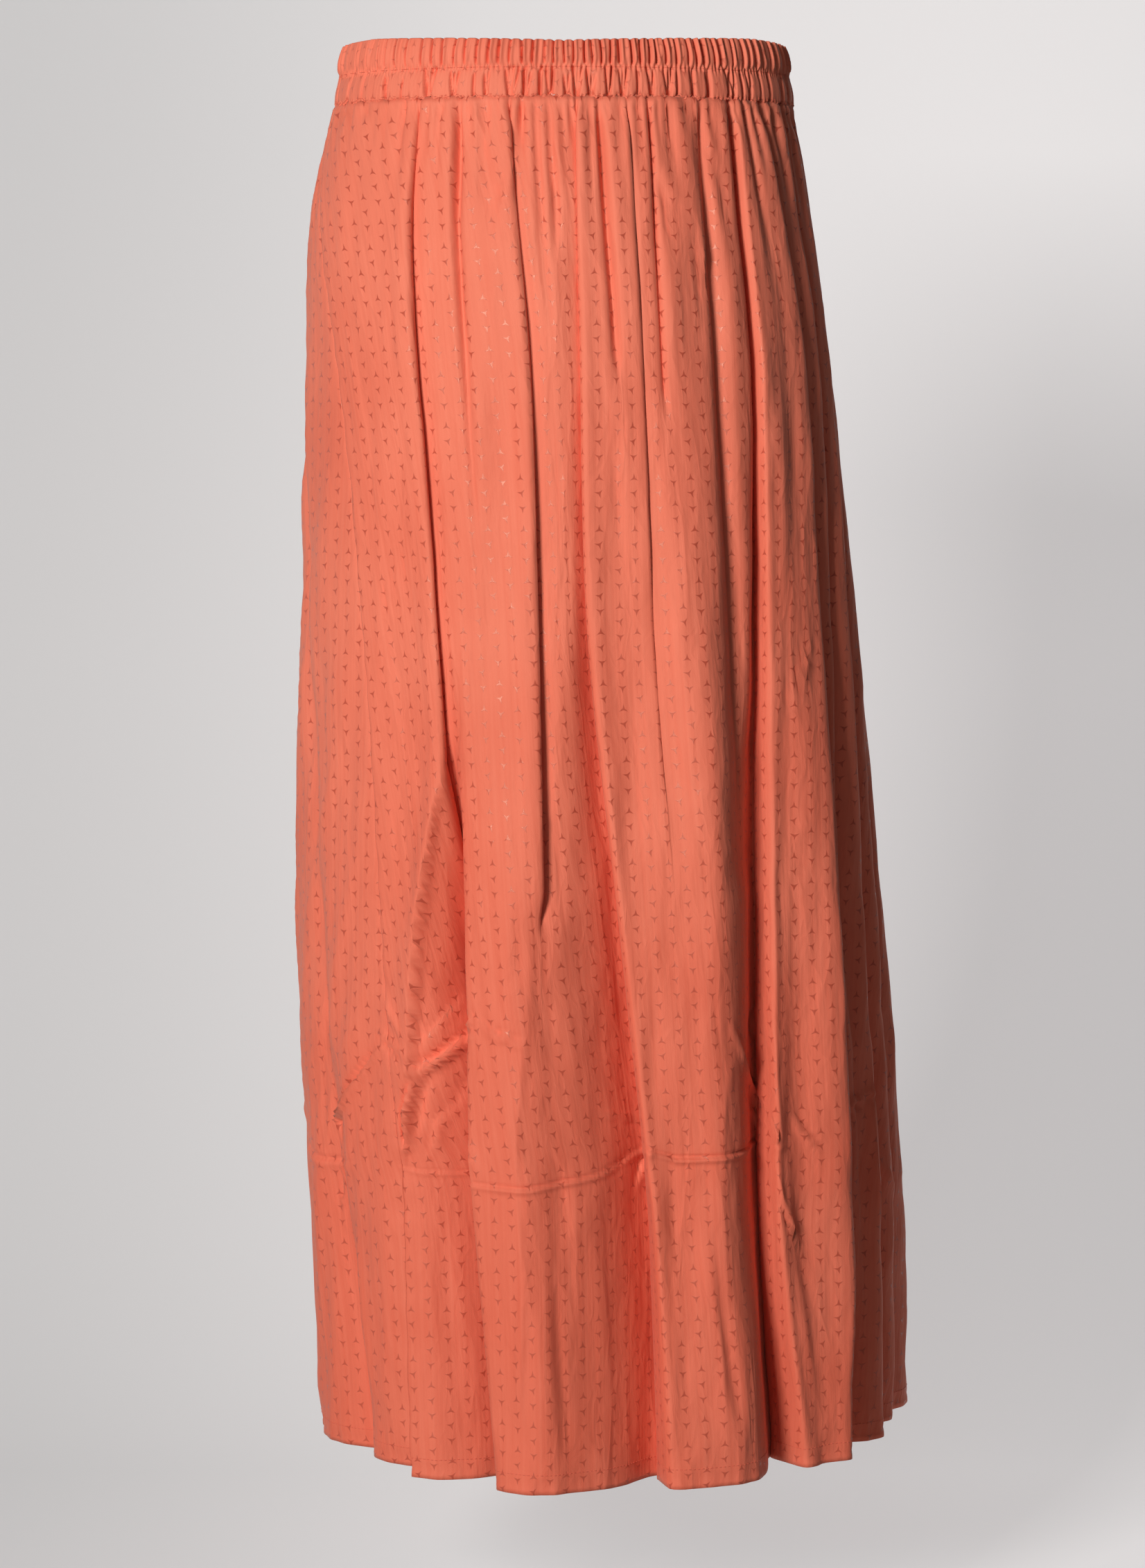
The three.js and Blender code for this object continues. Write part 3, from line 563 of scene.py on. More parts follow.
def coral_viscose(name, mark_strength=1.0):
    """Coral viscose jacquard: a plain soft ground with columns of small three-pronged marks woven
    as smoother floats, threes of them in turn, and every other column half a repeat lower."""
    cloth = bpy.data.materials.new(name)
    cloth.use_nodes = True
    nodes, links = cloth.node_tree.nodes, cloth.node_tree.links
    shader = nodes["Principled BSDF"]
    shader.inputs["Specular IOR Level"].default_value = 0.9
    shader.inputs["Specular Tint"].default_value = (1.0, 0.6, 0.44, 1)
    shader.inputs["Sheen Weight"].default_value = 0.12
    shader.inputs["Sheen Roughness"].default_value = 0.45
    shader.inputs["Sheen Tint"].default_value = (1.0, 0.62, 0.5, 1)

    def sum_of(kind, first, second=0.0, third=0.0):
        node = nodes.new("ShaderNodeMath")
        node.operation = kind
        for socket, value in zip(node.inputs, (first, second, third)):
            if isinstance(value, (int, float)):
                socket.default_value = value
            else:
                links.new(value, socket)
        return node.outputs[0]

    measure = nodes.new("ShaderNodeUVMap")
    measure.uv_map = "cloth_measure"
    parts = nodes.new("ShaderNodeSeparateXYZ")
    links.new(measure.outputs["UV"], parts.inputs[0])
    across_mm = sum_of("MULTIPLY", parts.outputs["X"], 1000)
    down_mm = sum_of("MULTIPLY", parts.outputs["Y"], 1000)
    column = sum_of("DIVIDE", across_mm, 11.8)
    column_number = sum_of("FLOOR", column)
    in_column = sum_of("MULTIPLY", sum_of("SUBTRACT", sum_of("FRACT", column), 0.5), 11.8)
    odd = sum_of("PINGPONG", column_number, 1)
    shifted = sum_of("ADD", down_mm, sum_of("MULTIPLY", odd, 16.5))
    in_repeat = sum_of("MULTIPLY", sum_of("FRACT", sum_of("DIVIDE", shifted, 33)), 33)
    past_first = sum_of("GREATER_THAN", in_repeat, 8.85)
    past_second = sum_of("GREATER_THAN", in_repeat, 18.6)
    centre = sum_of("MULTIPLY_ADD", past_first, 9.7, sum_of("MULTIPLY_ADD", past_second, 9.8, 4.0))
    upward = sum_of("SUBTRACT", centre, in_repeat)
    turned = sum_of("MULTIPLY_ADD", past_first, 0.75, sum_of("MULTIPLY_ADD", past_second, 0.3, 0.0))
    angle = sum_of("SUBTRACT", sum_of("ARCTAN2", upward, in_column), sum_of("SUBTRACT", math.pi / 2, turned))
    prong = sum_of("SUBTRACT", sum_of("FLOORED_MODULO", sum_of("ADD", angle, math.pi / 3), 2 * math.pi / 3),
                   math.pi / 3)
    reach = sum_of("SQRT", sum_of("ADD", sum_of("MULTIPLY", in_column, in_column),
                                  sum_of("MULTIPLY", upward, upward)))
    lengthwise = sum_of("MULTIPLY", reach, sum_of("COSINE", prong))
    sideways = sum_of("ABSOLUTE", sum_of("MULTIPLY", reach, sum_of("SINE", prong)))
    thin = sum_of("MULTIPLY_ADD", lengthwise, -0.25, 0.8)
    edge = nodes.new("ShaderNodeMapRange")
    edge.inputs["From Min"].default_value = -0.16
    edge.inputs["From Max"].default_value = 0.16
    links.new(sum_of("SUBTRACT", thin, sideways), edge.inputs["Value"])
    mark = edge.outputs["Result"]
    if mark_strength != 1.0:
        mark = sum_of("MULTIPLY", mark, mark_strength)

    # slow cloudy change over the cloth, faint upright streaks of the warp, and painted shade that makes the
    # cloth darker and redder towards the hem
    place = nodes.new("ShaderNodeTexCoord")
    clouds = nodes.new("ShaderNodeTexNoise")
    clouds.inputs["Scale"].default_value = 9
    clouds.inputs["Detail"].default_value = 3
    links.new(place.outputs["Object"], clouds.inputs["Vector"])
    stretch = nodes.new("ShaderNodeMapping")
    stretch.inputs["Scale"].default_value = (420, 9, 1)
    links.new(measure.outputs["UV"], stretch.inputs["Vector"])
    streaks = nodes.new("ShaderNodeTexNoise")
    streaks.inputs["Scale"].default_value = 1
    streaks.inputs["Detail"].default_value = 2
    links.new(stretch.outputs[0], streaks.inputs["Vector"])
    tone_with_painted_shade = nodes.new("ShaderNodeValToRGB")
    tone_with_painted_shade.color_ramp.elements[0].position = 0.25
    tone_with_painted_shade.color_ramp.elements[0].color = (0.70, 0.124, 0.068, 1)
    tone_with_painted_shade.color_ramp.elements[1].position = 0.75
    tone_with_painted_shade.color_ramp.elements[1].color = (0.80, 0.192, 0.115, 1)
    blend = sum_of("MULTIPLY_ADD", clouds.outputs["Fac"], 0.6,
                   sum_of("MULTIPLY", streaks.outputs["Fac"], 0.4))
    # painted shade: darker and redder down the cloth towards the hem
    blend = sum_of("ADD", blend, sum_of("MULTIPLY_ADD", parts.outputs["Y"], -0.34, 0.17))
    links.new(blend, tone_with_painted_shade.inputs["Fac"])
    colour = nodes.new("ShaderNodeMix")
    colour.data_type = "RGBA"
    links.new(mark, colour.inputs["Factor"])
    links.new(tone_with_painted_shade.outputs["Color"], colour.inputs["A"])
    colour.inputs["B"].default_value = (0.51, 0.083, 0.047, 1)
    links.new(colour.outputs["Result"], shader.inputs["Base Color"])
    gloss = nodes.new("ShaderNodeMapRange")
    gloss.inputs["To Min"].default_value = 0.72
    gloss.inputs["To Max"].default_value = 0.38
    links.new(mark, gloss.inputs["Value"])
    links.new(gloss.outputs["Result"], shader.inputs["Roughness"])

    # the weave itself: fine warp and weft threads, and the marks standing a hair proud
    fine = nodes.new("ShaderNodeMapping")
    fine.inputs["Scale"].default_value = (2600, 1500, 1)
    links.new(measure.outputs["UV"], fine.inputs["Vector"])
    threads = nodes.new("ShaderNodeTexNoise")
    threads.inputs["Scale"].default_value = 1
    threads.inputs["Detail"].default_value = 1
    links.new(fine.outputs[0], threads.inputs["Vector"])
    height = sum_of("MULTIPLY_ADD", threads.outputs["Fac"], 0.00012, sum_of("MULTIPLY", mark, 0.00006))
    height = sum_of("MULTIPLY_ADD", streaks.outputs["Fac"], 0.0003, height)
    for across_scale, down_scale, crumple_height in ((38, 9, 0.0042), (95, 30, 0.0015)):
        spread = nodes.new("ShaderNodeMapping")
        spread.inputs["Scale"].default_value = (across_scale, down_scale, 1)
        links.new(measure.outputs["UV"], spread.inputs["Vector"])
        crumple = nodes.new("ShaderNodeTexNoise")
        crumple.inputs["Scale"].default_value = 1
        crumple.inputs["Detail"].default_value = 2
        crumple.inputs["Distortion"].default_value = 0.5
        links.new(spread.outputs[0], crumple.inputs["Vector"])
        from_middle = sum_of("ABSOLUTE", sum_of("SUBTRACT", crumple.outputs["Fac"], 0.5))
        height = sum_of("MULTIPLY_ADD", from_middle, -crumple_height, height)
    relief = nodes.new("ShaderNodeBump")
    relief.inputs["Strength"].default_value = 0.7
    relief.inputs["Distance"].default_value = 1
    links.new(height, relief.inputs["Height"])
    links.new(relief.outputs["Normal"], shader.inputs["Normal"])
    return cloth


# Creases of the back panel and of the front one beyond the left seam, from top to bottom
BACK_CREASES = [
    (((-20.1, 396), (-20.7, 428), (-21.3, 454)), 1.4, 2.2, "ridge"),
    (((21.8, 86), (23.4, 112), (24.0, 140)), 3.4, 2.2, "trough"),
    (((26.6, 92), (25.2, 118), (24.2, 142)), 2.6, 2.0, "lap_back"),
    (((29.0, 120), (30.4, 150), (30.2, 186)), 3.2, 2.4, "trough"),
    (((33.6, 128), (32.0, 158), (30.6, 188)), 2.4, 2.2, "lap_back"),
    (((-17.0, 70), (-15.8, 96), (-15.2, 122)), 3.2, 2.2, "trough"),
    (((-12.2, 72), (-13.6, 98), (-15.0, 124)), 2.4, 2.0, "lap"),
    (((-25.0, 60), (-24.0, 92), (-23.6, 116)), 2.6, 2.2, "trough"),
    (((-3.0, 74), (-1.6, 104), (-1.8, 140)), 3.0, 2.2, "trough"),
    (((36.5, 70), (38.5, 96), (39.0, 128)), 3.0, 2.2, "trough"),
    (((-34.1, 336), (-38.5, 354), (-42.6, 371)), 2.4, 1.8, "lap"),
    (((3, 216), (3.6, 226), (4.4, 236)), 2.6, 2.4, "ridge"),
    (((12.1, 262), (13.9, 245), (13.1, 273)), 2.2, 2.0, "trough"),
    (((12.5, 236), (13.6, 252), (12.4, 268), (10.6, 282)), 2.4, 2.0, "ridge"),
    (((50.5, 390), (46.1, 420), (43.2, 431)), 3.4, 2.2, "lap"),
    (((-6.6, 507), (-1.5, 499)), 1.2, 2.0, "ridge"),
    (((-4.6, 496), (8.3, 489), (24.7, 489)), 0.7, 1.8, "ridge"),
    (((46.2, 505), (42.3, 519)), 2.2, 2.0, "lap"),
    (((44.1, 531), (47.6, 545)), 2.0, 2.0, "lap"),
    (((44.4, 548), (42.2, 557)), 1.8, 2.0, "lap"),
    (((23.6, 512), (30.8, 525), (38.5, 537)), 1.8, 2.0, "lap_back"),
    (((-36.5, 721), (-33.4, 669), (-31.2, 589), (-26.5, 502), (-25.4, 474)), 10.5, 1.4, "edge"),
    (((-18.3, 630), (-24.1, 644), (-30.0, 663), (-33.4, 669)), 8.5, 2.4, "lap"),
    (((-18.7, 641), (-25.2, 652), (-31.7, 668)), 6.5, 2.0, "lap"),
    (((-33.4, 670), (-36.3, 699), (-36.9, 721)), 6.5, 2.4, "lap"),
    (((-40.2, 626), (-35.8, 647)), 2.8, 2.0, "ridge"),
    (((-20.5, 636), (-25.5, 650), (-30.5, 664)), 4.0, 1.6, "trough"),
    (((-24.5, 618), (-29.0, 640), (-33.0, 656)), 3.0, 2.0, "lap"),
    (((-30.5, 672), (-33.5, 690), (-35.0, 712)), 3.4, 1.8, "trough"),
    (((-17.6, 628), (-20.5, 645), (-21.5, 662)), 3.0, 2.0, "trough"),
    (((-27.5, 690), (-31.5, 706), (-33.0, 725)), 2.8, 2.0, "lap"),
    (((-22.5, 668), (-27.0, 682), (-28.5, 700)), 2.4, 2.2, "trough"),
    (((-43.3, 649), (-34.6, 663)), 3.2, 2.0, "lap"),
    (((-16.6, 634), (-13.1, 641), (-7.7, 646)), 2.8, 1.8, "lap_back"),
    (((-42.1, 654), (-48.0, 672), (-53.7, 690), (-61.4, 712), (-60.5, 738), (-62.8, 765)), 9.5, 2.6, "lap"),
    (((-44.5, 662), (-52.5, 690), (-60.0, 714), (-59.5, 745)), 4.5, 2.0, "trough"),
    (((-26.3, 707), (-20.9, 717), (-19.0, 725), (-18.8, 738)), 3.0, 2.2, "lap_back"),
    (((-24.0, 716), (-21.5, 727), (-20.4, 739)), 2.0, 1.8, "trough"),
    (((28.2, 639), (31.1, 663), (35.4, 693), (36.1, 713)), 4.6, 2.4, "lap_back"),
    (((36.6, 632), (33.9, 640), (34.2, 653)), 3.0, 2.0, "trough"),
    (((40.1, 697), (44.5, 725)), 2.6, 2.2, "lap_back"),
    (((32.7, 697), (36.3, 711), (35.8, 722)), 2.4, 2.0, "lap_back"),
    (((54.7, 711), (66.4, 699)), 2.6, 2.4, "lap"),
    (((67.6, 690), (68.6, 715), (73.2, 748), (84.0, 792)), 2.0, 3.2, "ridge"),
    (((67.8, 639), (65.3, 706), (65.1, 796)), 2.0, 3.4, "ridge"),
    (((-38, 735), (-34, 737.6), (-26, 739), (-17.8, 740.5)), 1.4, 1.5, "lap_back"),
    (((-18.8, 740.5), (-7.2, 741.3), (5.2, 734.7), (13.4, 720)), 2.4, 1.7, "lap_back"),
    (((-21, 712), (-19, 722), (-17.5, 736)), 2.4, 2.4, "ridge"),
    (((5.3, 698), (10.2, 705), (12.4, 712)), 2.2, 2.2, "lap"),
    (((13.8, 717), (11.2, 733), (10.6, 747)), 3.4, 2.2, "lap"),
    (((9.4, 722), (7.2, 737)), 1.8, 1.8, "trough"),
    (((12.8, 717), (18.4, 724.3), (27.9, 722.5), (37, 720)), 3.0, 1.7, "lap_back"),
    (((35.0, 740), (35.9, 756), (39.0, 784), (42.3, 812)), 3.0, 2.2, "lap"),
    (((38.8, 715), (38.3, 751), (39.7, 817), (42.9, 894)), 2.2, 3.2, "ridge"),
    (((-53.6, 787), (-51.5, 837), (-49.5, 885)), 3.2, 3.6, "ridge"),
    (((-58.0, 800), (-57.0, 850), (-55.0, 900)), 3.0, 3.4, "trough"),
    (((-30.0, 775), (-28.0, 840), (-27.0, 905)), 2.6, 3.6, "ridge"),
    (((-2.0, 790), (-1.0, 850), (0.5, 915)), 2.6, 3.4, "trough"),
    (((4.5, 770), (5.5, 820), (6.0, 870)), 2.2, 3.0, "ridge"),
    (((24.0, 770), (25.0, 830), (27.5, 900)), 2.6, 3.2, "trough"),
    (((-8.0, 800), (-9.0, 850), (-9.5, 890)), 2.0, 3.2, "ridge"),
    (((50.6, 846), (54.8, 878), (59.8, 918)), 2.6, 3.2, "lap_back"),
]
# Short gathers under the band: degrees, depth, width, length and how far they drift to the right
BACK_GATHERS = [
    (-74, 1.4, 1.8, 50, 0), (-66, 1.6, 1.8, 80, 0), (-60, 1.4, 1.6, 40, 0), (-54.5, 1.6, 1.6, 90, 0),
    (-48.2, 2.6, 1.5, 50, 0), (-42.8, 2.4, 1.5, 70, 2), (-31, 2.6, 1.6, 90, 1), (-23, 3.0, 1.6, 60, 3),
    (-19.6, 4.4, 1.6, 120, 3), (-16.4, 2.2, 1.5, 50, 3), (-10.2, 4.0, 1.5, 46, -5), (-6.4, 3.8, 1.5, 170, 2),
    (-3.4, 3.0, 1.5, 110, 2), (-0.6, 2.6, 1.5, 70, 3), (1.6, 3.4, 1.4, 60, 3), (6.4, 3.2, 1.4, 90, -3),
    (11.0, 2.4, 1.4, 40, 0), (13.2, 2.6, 1.4, 110, 2), (18.0, 3.2, 1.5, 70, 1), (23.6, 2.2, 1.6, 45, 1),
    (26.0, 3.0, 1.6, 76, 2), (30.6, 2.0, 1.6, 50, 2), (33.1, 3.0, 1.6, 100, 2), (39.2, 3.0, 1.6, 110, 4),
    (49.9, 3.6, 1.8, 130, 5), (53.2, 2.4, 1.7, 60, 4), (63.1, 3.2, 1.7, 90, 3), (73.6, 2.8, 1.7, 110, 1),
    (84.5, 2.6, 1.8, 70, 0), (94.5, 2.2, 1.8, 60, 0)]
random = np.random.default_rng(11)
gap_count = len(BACK_FOLDS) + 1
small_gathers = [(at, random.uniform(1.5, 3.8), random.uniform(1.2, 1.7),
                  random.choice([14, 24, 36, 52]), random.uniform(-2, 2))
                 for at in np.arange(-80, 97, 4.1) + random.uniform(-1.4, 1.4, 44)]


def make_ripples(gaps, count):
    """Long faint ripples: the gap between folds each runs in, its share of the gap, height, width, ends."""
    ripples = []
    for start in random.uniform(30, 780, count):
        wide = random.uniform(2.8, 9)
        ripples.append((int(random.integers(gaps)), random.uniform(0.08, 0.92),
                        wide * random.uniform(-0.16, 0.16),
                        wide, start, start + random.uniform(120, 420)))
    return ripples


back_ripples = make_ripples(gap_count, 130)
cloth_rows = np.concatenate([np.linspace(CLOTH_TOP, 110, 19)[:-1], np.linspace(110, 480, 36)[:-1],
                             np.linspace(480, 610, 22)[:-1],
                            np.linspace(610, 712, 31)[:-1], np.linspace(712, 748, 27)[:-1],
                            np.linspace(748, 775, 9)[:-1],
                            np.linspace(775, 908, 15)[:-1], np.linspace(908, HEM_DROP, 11)])
outer, down, above = hang_cloth(
    BACK_FOLDS, (LEFT_SEAM, RIGHT_SEAM), (0, 0), cloth_rows, CLOTH_COLUMNS, BACK_GATHERS + small_gathers,
    back_ripples, BACK_CREASES, 5)
wall = (WALL + (HEM_WALL - WALL) * smooth(0.0082, 0.0064, above)) / 1000
back_panel = closed_cloth("back_panel_cloth", outer, wall, settled_width(outer), down)
coral = coral_viscose("coral_viscose")
back_panel.data.materials.append(coral)
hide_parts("back_panel")
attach(back_panel, "root")
back_hem_line, back_hem_normals = outer[-5], face_normals(outer)[-5]

# The front panel is cut like the back one, a little shorter, and sewn to it down both sides.
# It hangs in the same soft gathers, and the two side folds of the hip.
front_gaps = len(FRONT_FOLDS) + 1
front_gathers = [(at, random.uniform(1.2, 4.0), random.uniform(1.5, 2.1),
                  random.choice([30, 60, 90, 140]), random.uniform(-3, 3))
                 for at in np.arange(103, 276, 2.9) + random.uniform(-1, 1, 60)]
front_ripples = make_ripples(front_gaps, 140)
FRONT_CREASES = [
    (((112, 560), (118, 600), (121, 640)), 2.0, 4.0, "lap"),
    (((128, 705), (139, 712), (150, 708)), 1.8, 3.2, "lap_back"),
    (((166, 722), (178, 730), (190, 727)), 2.0, 3.4, "lap_back"),
    (((171, 640), (182, 655), (187, 676)), 3.0, 4.0, "lap_back"),
    (((205, 716), (221, 722), (236, 718)), 1.8, 3.2, "lap"),
    (((214, 505), (223, 512)), 1.4, 3.0, "lap"),
    (((251, 676), (262, 700), (268, 730)), 2.4, 4.0, "lap"),
    (((150, 420), (156, 446), (158, 470)), 1.4, 3.0, "ridge"),
    (((280, 735), (292, 742), (306, 738)), 1.6, 3.2, "lap_back"),
    (((236, 850), (243, 890), (246, 915)), 1.8, 4.0, "ridge"),
]
outer, down, above = hang_cloth(
    FRONT_FOLDS, (RIGHT_SEAM, LEFT_SEAM), (0, 360), cloth_rows, CLOTH_COLUMNS, front_gathers, front_ripples,
    FRONT_CREASES + BACK_CREASES, 6)
wall = (WALL + (HEM_WALL - WALL) * smooth(0.0082, 0.0064, above)) / 1000
front_panel = closed_cloth("front_panel_cloth", outer, wall, settled_width(outer), down)
front_panel.data.materials.append(coral)
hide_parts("front_panel")
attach(front_panel, "root")
front_hem_line, front_hem_normals = outer[-5], face_normals(outer)[-5]

# The waistband is a strip of the same cloth folded over two lengths of elastic, stitched along
# its middle to part them and along its bottom to the panels. The elastic draws it into gathers.
BAND_COLUMNS = 1440
UPPER_GATHERS = [
    -73.2, -66.2, -59.8, -54.3, -51.5, -47.5, -43.4, -38.6, -35.1, -31.9, -28.4, -25.2, -22.2, -19, -16.4,
    -13.5, -10.3, -7.7, -4.6, -2.2, 0.5, 2.6, 5.6, 7.4, 9.6, 11.8, 14.2, 17.5, 19.7, 22, 24.1, 26.5, 29.6,
    32.9, 35.7, 37.9, 41.4, 43.8, 48, 51.9, 54.4, 57.7, 61.4, 65.7, 69.9, 75.4, 80, 84]
# where the gathers of the lower channel meet at the seam, and how many lines spread up from it
LOWER_CLUSTERS = [
    (-80, 2), (-69, 2), (-60.6, 1), (-50, 2), (-44.1, 1), (-35.4, 4), (-27.9, 3), (-22.4, 1), (-19.1, 2),
    (-12.9, 4), (-9.3, 3), (-5.6, 2), (-3.1, 3), (0.9, 2), (3.3, 3), (6.7, 3), (11, 2), (14.5, 3), (18.4, 1),
    (22, 3), (26.6, 3), (28.9, 1), (33.5, 2), (38.3, 3), (44.8, 2), (46.7, 2), (50.1, 1), (52.9, 2),
    (57.9, 1),
    (62.5, 2), (70.4, 3), (76, 2), (82.9, 2)]
random = np.random.default_rng(23)
hidden = 87.0
while hidden < 282:
    UPPER_GATHERS.append(hidden)
    hidden += random.uniform(2.6, 4.6)
hidden = 89.0
while hidden < 276:
    LOWER_CLUSTERS.append((hidden, int(random.integers(1, 5))))
    hidden += random.uniform(3.6, 8)
band_degrees = np.arange(BAND_COLUMNS) * 360 / BAND_COLUMNS - 90
band_arc = arc_at(band_degrees, 20)
girth = float(arc_at(270, 20) - arc_at(-90, 20))


def round_the_band(degrees):
    """How far each column is from a place on the band, the short way round."""
    away = band_arc - arc_at(degrees, 20)
    return (away + girth / 2) % girth - girth / 2


# the outside from bottom to top: height share, how far out, then over the top edge and down inside
heights = np.concatenate([[-1.0, -0.97, -0.92, -0.85, -0.75, -0.62, -0.5, -0.38, -0.26, -0.17, -0.1, -0.05],
                          [0, 0.05, 0.1, 0.17, 0.26, 0.38, 0.5, 0.62, 0.74, 0.84, 0.92, 0.97, 1.0]])
channel = np.abs(np.abs(heights) - 0.5) / 0.5
body = np.where(heights < 0, 1.5, 1.9) * (1 - channel ** 2) + np.where(heights > 0.5, 0.4, 0) * channel ** 2
body[:3] += (-0.5, -0.3, -0.1)
band_out = np.tile(body[:, None], (1, BAND_COLUMNS))
band_lift = np.zeros((len(heights), BAND_COLUMNS))
upper = smooth(0.03, 0.22, heights)[:, None]
for i, degrees in enumerate(UPPER_GATHERS):
    side = math.sin(math.radians(degrees))
    slant = random.uniform(-0.9, 0.9) + 1.6 * max(0, side) ** 2
    curl = random.uniform(-0.6, 0.6)
    away = round_the_band(degrees)[None, :] + (slant * heights + curl * np.sin(3 * heights))[:, None]
    deep = random.uniform(3.6, 6.0) * (1 if degrees > -60 else 0.45)
    wide = random.uniform(0.6, 0.9)
    band_out -= upper * deep * np.exp(-(away / wide) ** 2)
    band_out += upper * 0.3 * deep * np.exp(-((away - 2.2 * wide) / (1.6 * wide)) ** 2)
    band_lift -= smooth(0.8, 1, heights)[:, None] * random.uniform(0.3, 1.0) * np.exp(-(away / 1.3) ** 2)
    if random.random() < 0.55:
        second = away - random.uniform(2.2, 4.5)
        start = random.uniform(0, 0.5)
        band_out -= (smooth(start, start + 0.3, heights)[:, None]
                     * random.uniform(0.4, 1.1) * np.exp(-(second / 1.2) ** 2))
for degrees, lines in LOWER_CLUSTERS:
    rise = (heights + 1)[:, None]
    base = round_the_band(degrees)[None, :]
    for line in range(lines):
        spread = (line - (lines - 1) / 2) * random.uniform(1.6, 3.0) + random.uniform(-0.8, 1.6)
        away = base - spread * rise ** 0.85 - 0.6 * (line - (lines - 1) / 2)
        top = random.uniform(0.55, 1.0)
        deep = random.uniform(2.6, 4.6) * smooth(-0.02, 0.1, rise) * (1 - smooth(top, top + 0.25, rise))
        deep = deep * (heights < 0.02)[:, None] * (1 if degrees > -60 else 0.5)
        band_out -= deep * np.exp(-(away / random.uniform(0.65, 1.0)) ** 2)
    band_out -= 0.8 * np.exp(-((heights + 1) / 0.12) ** 2)[:, None] * np.exp(-(base / 2.6) ** 2)
    band_lift += smooth(0.75, 1, -heights)[:, None] * random.uniform(0.5, 1.9) * np.exp(-(base / 2.4) ** 2)
pinch = np.cumsum(random.uniform(0.75, 1.3, BAND_COLUMNS))
pinch = pinch / pinch[-1] * 2 * math.pi * round(girth / 2.8)
near_row = np.exp(-(heights / 0.13) ** 2)[:, None]
band_out += 0.65 * near_row * np.sin(pinch)[None, :]
near_seam = np.exp(-((heights + 1) / 0.1) ** 2)[:, None]
band_out += 0.5 * near_seam * np.sin(pinch * 0.86)[None, :]
band_lift += (smooth(0.7, 1, -heights)[:, None]
              * (0.75 * np.sin(pinch * 0.31) + 0.5 * np.sin(pinch * 0.83))[None, :])
dip = 20 - np.interp((band_degrees + 180) % 360 - 180, [-95, -75, -57, -30, 0, 30, 57, 75, 95],
                     [19, 20.2, 21.2, 19.4, 17.2, 19.4, 21.4, 20.4, 19])
level = 20 - 20 * heights
point, normal, tangent = plain_section(band_degrees[None, :], level[:, None] * np.ones((1, BAND_COLUMNS)))
height_mm = 20 * heights[:, None] - dip[None, :] * smooth(0, 1, heights)[:, None] + band_lift
outside = np.concatenate([point + normal * band_out[..., None], height_mm[..., None]], -1)
# the rounded top edge and the inside, drawn flat against the wearer
inside_rows = [(1.01, -1.0, 0.5), (0.96, -2.0, 0.7), (0.8, -2.7, 0.8), (0.4, -3.0, 0.9), (0.0, -3.2, 1.0),
               (-0.5, -3.2, 1.0), (-0.95, -3.1, 1.0), (-1.0, -2.4, 0.8)]
inner = []
for share, reach, flatness in inside_rows:
    point, normal, tangent = plain_section(band_degrees, 20 - 20 * min(share, 1))
    wave = (band_out[-1] - band_out[-1].mean()) * (1 - flatness)
    z = (20 * share - dip * smooth(0, 1, share)
         + (band_lift[-1] if share > 0.9 else band_lift[0] * (share < -0.9)))
    inner.append(np.concatenate([point + normal * (reach + wave)[:, None],
                                 np.broadcast_to(z, (BAND_COLUMNS,))[:, None]], -1))
loops = np.concatenate([outside, np.array(inner)]) / 1000
rows = len(loops)
place = np.arange(rows * BAND_COLUMNS).reshape(rows, BAND_COLUMNS)
turn_up, turn_on = np.roll(place, -1, 0), np.roll(place, -1, 1)
quads = np.stack([place, turn_on, np.roll(turn_up, -1, 1), turn_up], -1).reshape(-1, 4)
across = np.tile(band_arc * 1.55 / 1000, (rows, 1))
down = np.concatenate([(20 - 20 * heights), 60 + 5 * np.arange(len(inner))])[:,
    None] / 1000 * np.ones((1, BAND_COLUMNS))
waistband = sewn_mesh("waistband_cloth", loops.reshape(-1, 3), quads, across.ravel(), down.ravel())
waistband.data.materials.append(coral_viscose("coral_viscose_gathered", 0.7))
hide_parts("waistband")
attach(waistband, "root")

# The stitching is matt coral sewing thread, run by machine along the middle of the waistband,
# along its seam and round the turned hem. Each stitch is a short bar sunk at both ends.
STITCH_LENGTH = 2.1
STITCH_PITCH = 2.9
bpy.ops.mesh.primitive_cylinder_add(vertices=6, radius=0.2, depth=STITCH_LENGTH * 0.7,
                                    rotation=(0, math.pi / 2, 0))
stitch = bpy.context.object
bpy.ops.object.transform_apply(rotation=True)
for end in (-1, 1):
    bpy.ops.object.mode_set(mode="EDIT")
    bpy.ops.mesh.select_all(action="DESELECT")
    bpy.ops.object.mode_set(mode="OBJECT")
    for face in stitch.data.polygons:
        face.select = face.normal.x * end > 0.9
    bpy.ops.object.mode_set(mode="EDIT")
    bpy.ops.mesh.select_mode(type="FACE")
    bpy.ops.mesh.extrude_region_move(TRANSFORM_OT_translate={"value": (end * STITCH_LENGTH * 0.15, 0,
                                                                       -0.22)})
    bpy.ops.transform.resize(value=(1, 0.45, 0.45))
    bpy.ops.object.mode_set(mode="OBJECT")
stitch_points = np.array([v.co for v in stitch.data.vertices])
stitch_faces = [list(p.vertices) for p in stitch.data.polygons]
bpy.data.objects.remove(stitch)


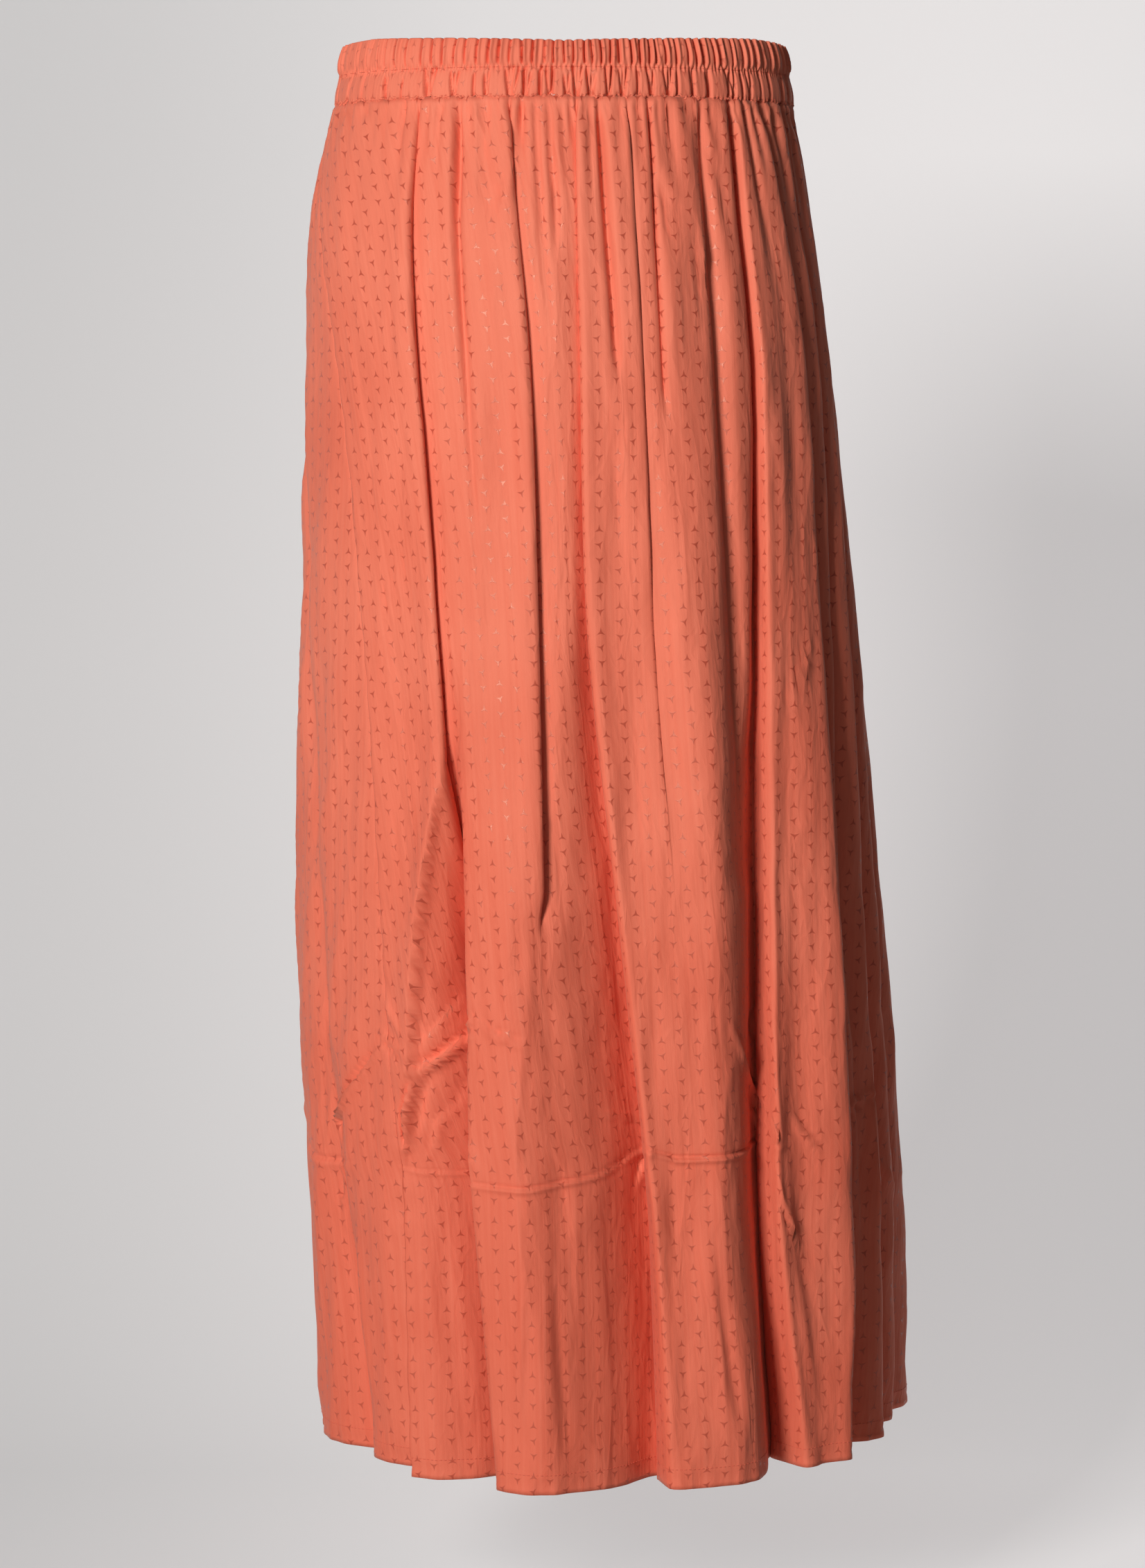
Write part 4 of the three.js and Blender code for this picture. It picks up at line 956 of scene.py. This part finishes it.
def run_of_stitches(name, line, normals, closed, lift=0.00012):
    """Stitches laid end to end along a line on the cloth, each turned to its way and normal."""
    if closed:
        line, normals = np.concatenate([line, line[:1]]), np.concatenate([normals, normals[:1]])
    way = np.concatenate([[0], np.cumsum(np.linalg.norm(np.diff(line, axis=0), axis=1))])
    count = int(way[-1] * 1000 / STITCH_PITCH)
    points, faces = [], []
    for i in range(count):
        at = (i + 0.5) * way[-1] / count
        spot = np.array([np.interp(at, way, line[:, k]) for k in range(3)])
        ahead = np.array([np.interp(at + 0.0008, way, line[:, k])
                          - np.interp(at - 0.0008, way, line[:, k]) for k in range(3)])
        up = np.array([np.interp(at, way, normals[:, k]) for k in range(3)])
        along = ahead / np.linalg.norm(ahead)
        up = up - along * up.dot(along)
        up /= np.linalg.norm(up)
        turn = np.stack([along, np.cross(up, along), up])
        faces += [[v + i * len(stitch_points) for v in face] for face in stitch_faces]
        points.append(stitch_points / 1000 @ turn + spot + up * lift)
    mesh = bpy.data.meshes.new(name)
    mesh.from_pydata(np.concatenate(points).tolist(), [], faces)
    mesh.shade_smooth()
    row = bpy.data.objects.new(name, mesh)
    bpy.context.scene.collection.objects.link(row)
    row.data.materials.append(thread)
    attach(row, "root")
    return row


def sewing_thread(name, colour):
    material = bpy.data.materials.new(name)
    material.use_nodes = True
    nodes, links = material.node_tree.nodes, material.node_tree.links
    shader = nodes["Principled BSDF"]
    shader.inputs["Roughness"].default_value = 0.6
    place = nodes.new("ShaderNodeTexCoord")
    twist = nodes.new("ShaderNodeTexWave")
    twist.inputs["Scale"].default_value = 900
    twist.inputs["Distortion"].default_value = 1.5
    links.new(place.outputs["Object"], twist.inputs["Vector"])
    # painted shade: the thread is darker in the grooves of its twist, where the bump is lowest
    tint = nodes.new("ShaderNodeMix")
    tint.data_type = "RGBA"
    links.new(twist.outputs["Fac"], tint.inputs["Factor"])
    tint.inputs["A"].default_value = (*(c * 0.82 for c in colour), 1)
    tint.inputs["B"].default_value = (*colour, 1)
    links.new(tint.outputs["Result"], shader.inputs["Base Color"])
    relief = nodes.new("ShaderNodeBump")
    relief.inputs["Distance"].default_value = 0.00008
    links.new(twist.outputs["Fac"], relief.inputs["Height"])
    links.new(relief.outputs["Normal"], shader.inputs["Normal"])
    return material


thread = sewing_thread("coral_thread", (0.78, 0.15, 0.085))
band_normals = -face_normals(outside, ring=True)
middle_row = int(np.argmin(np.abs(heights)))
run_of_stitches("band_middle_stitching", outside[middle_row] / 1000, band_normals[middle_row], True)
run_of_stitches("band_seam_stitching", outside[2] / 1000, band_normals[2], True)
run_of_stitches("back_hem_stitching", back_hem_line, back_hem_normals, False)
run_of_stitches("front_hem_stitching", front_hem_line, front_hem_normals, False)

# A single white tacking stitch is left at centre back, just under the waistband seam.
# It is the same sort of thread in white, pulled through the cloth once.
tack_column = int(np.argmin(np.abs(band_degrees + 2.4)))
tack_line = outside[1, tack_column - 3:tack_column + 4] / 1000
tack_line[:, 2] += np.linspace(-0.0007, 0.0007, 7)
thread = sewing_thread("white_thread", (0.85, 0.83, 0.8))
run_of_stitches("tacking_stitch", tack_line, band_normals[1, tack_column - 3:tack_column + 4], False, 0.0003)
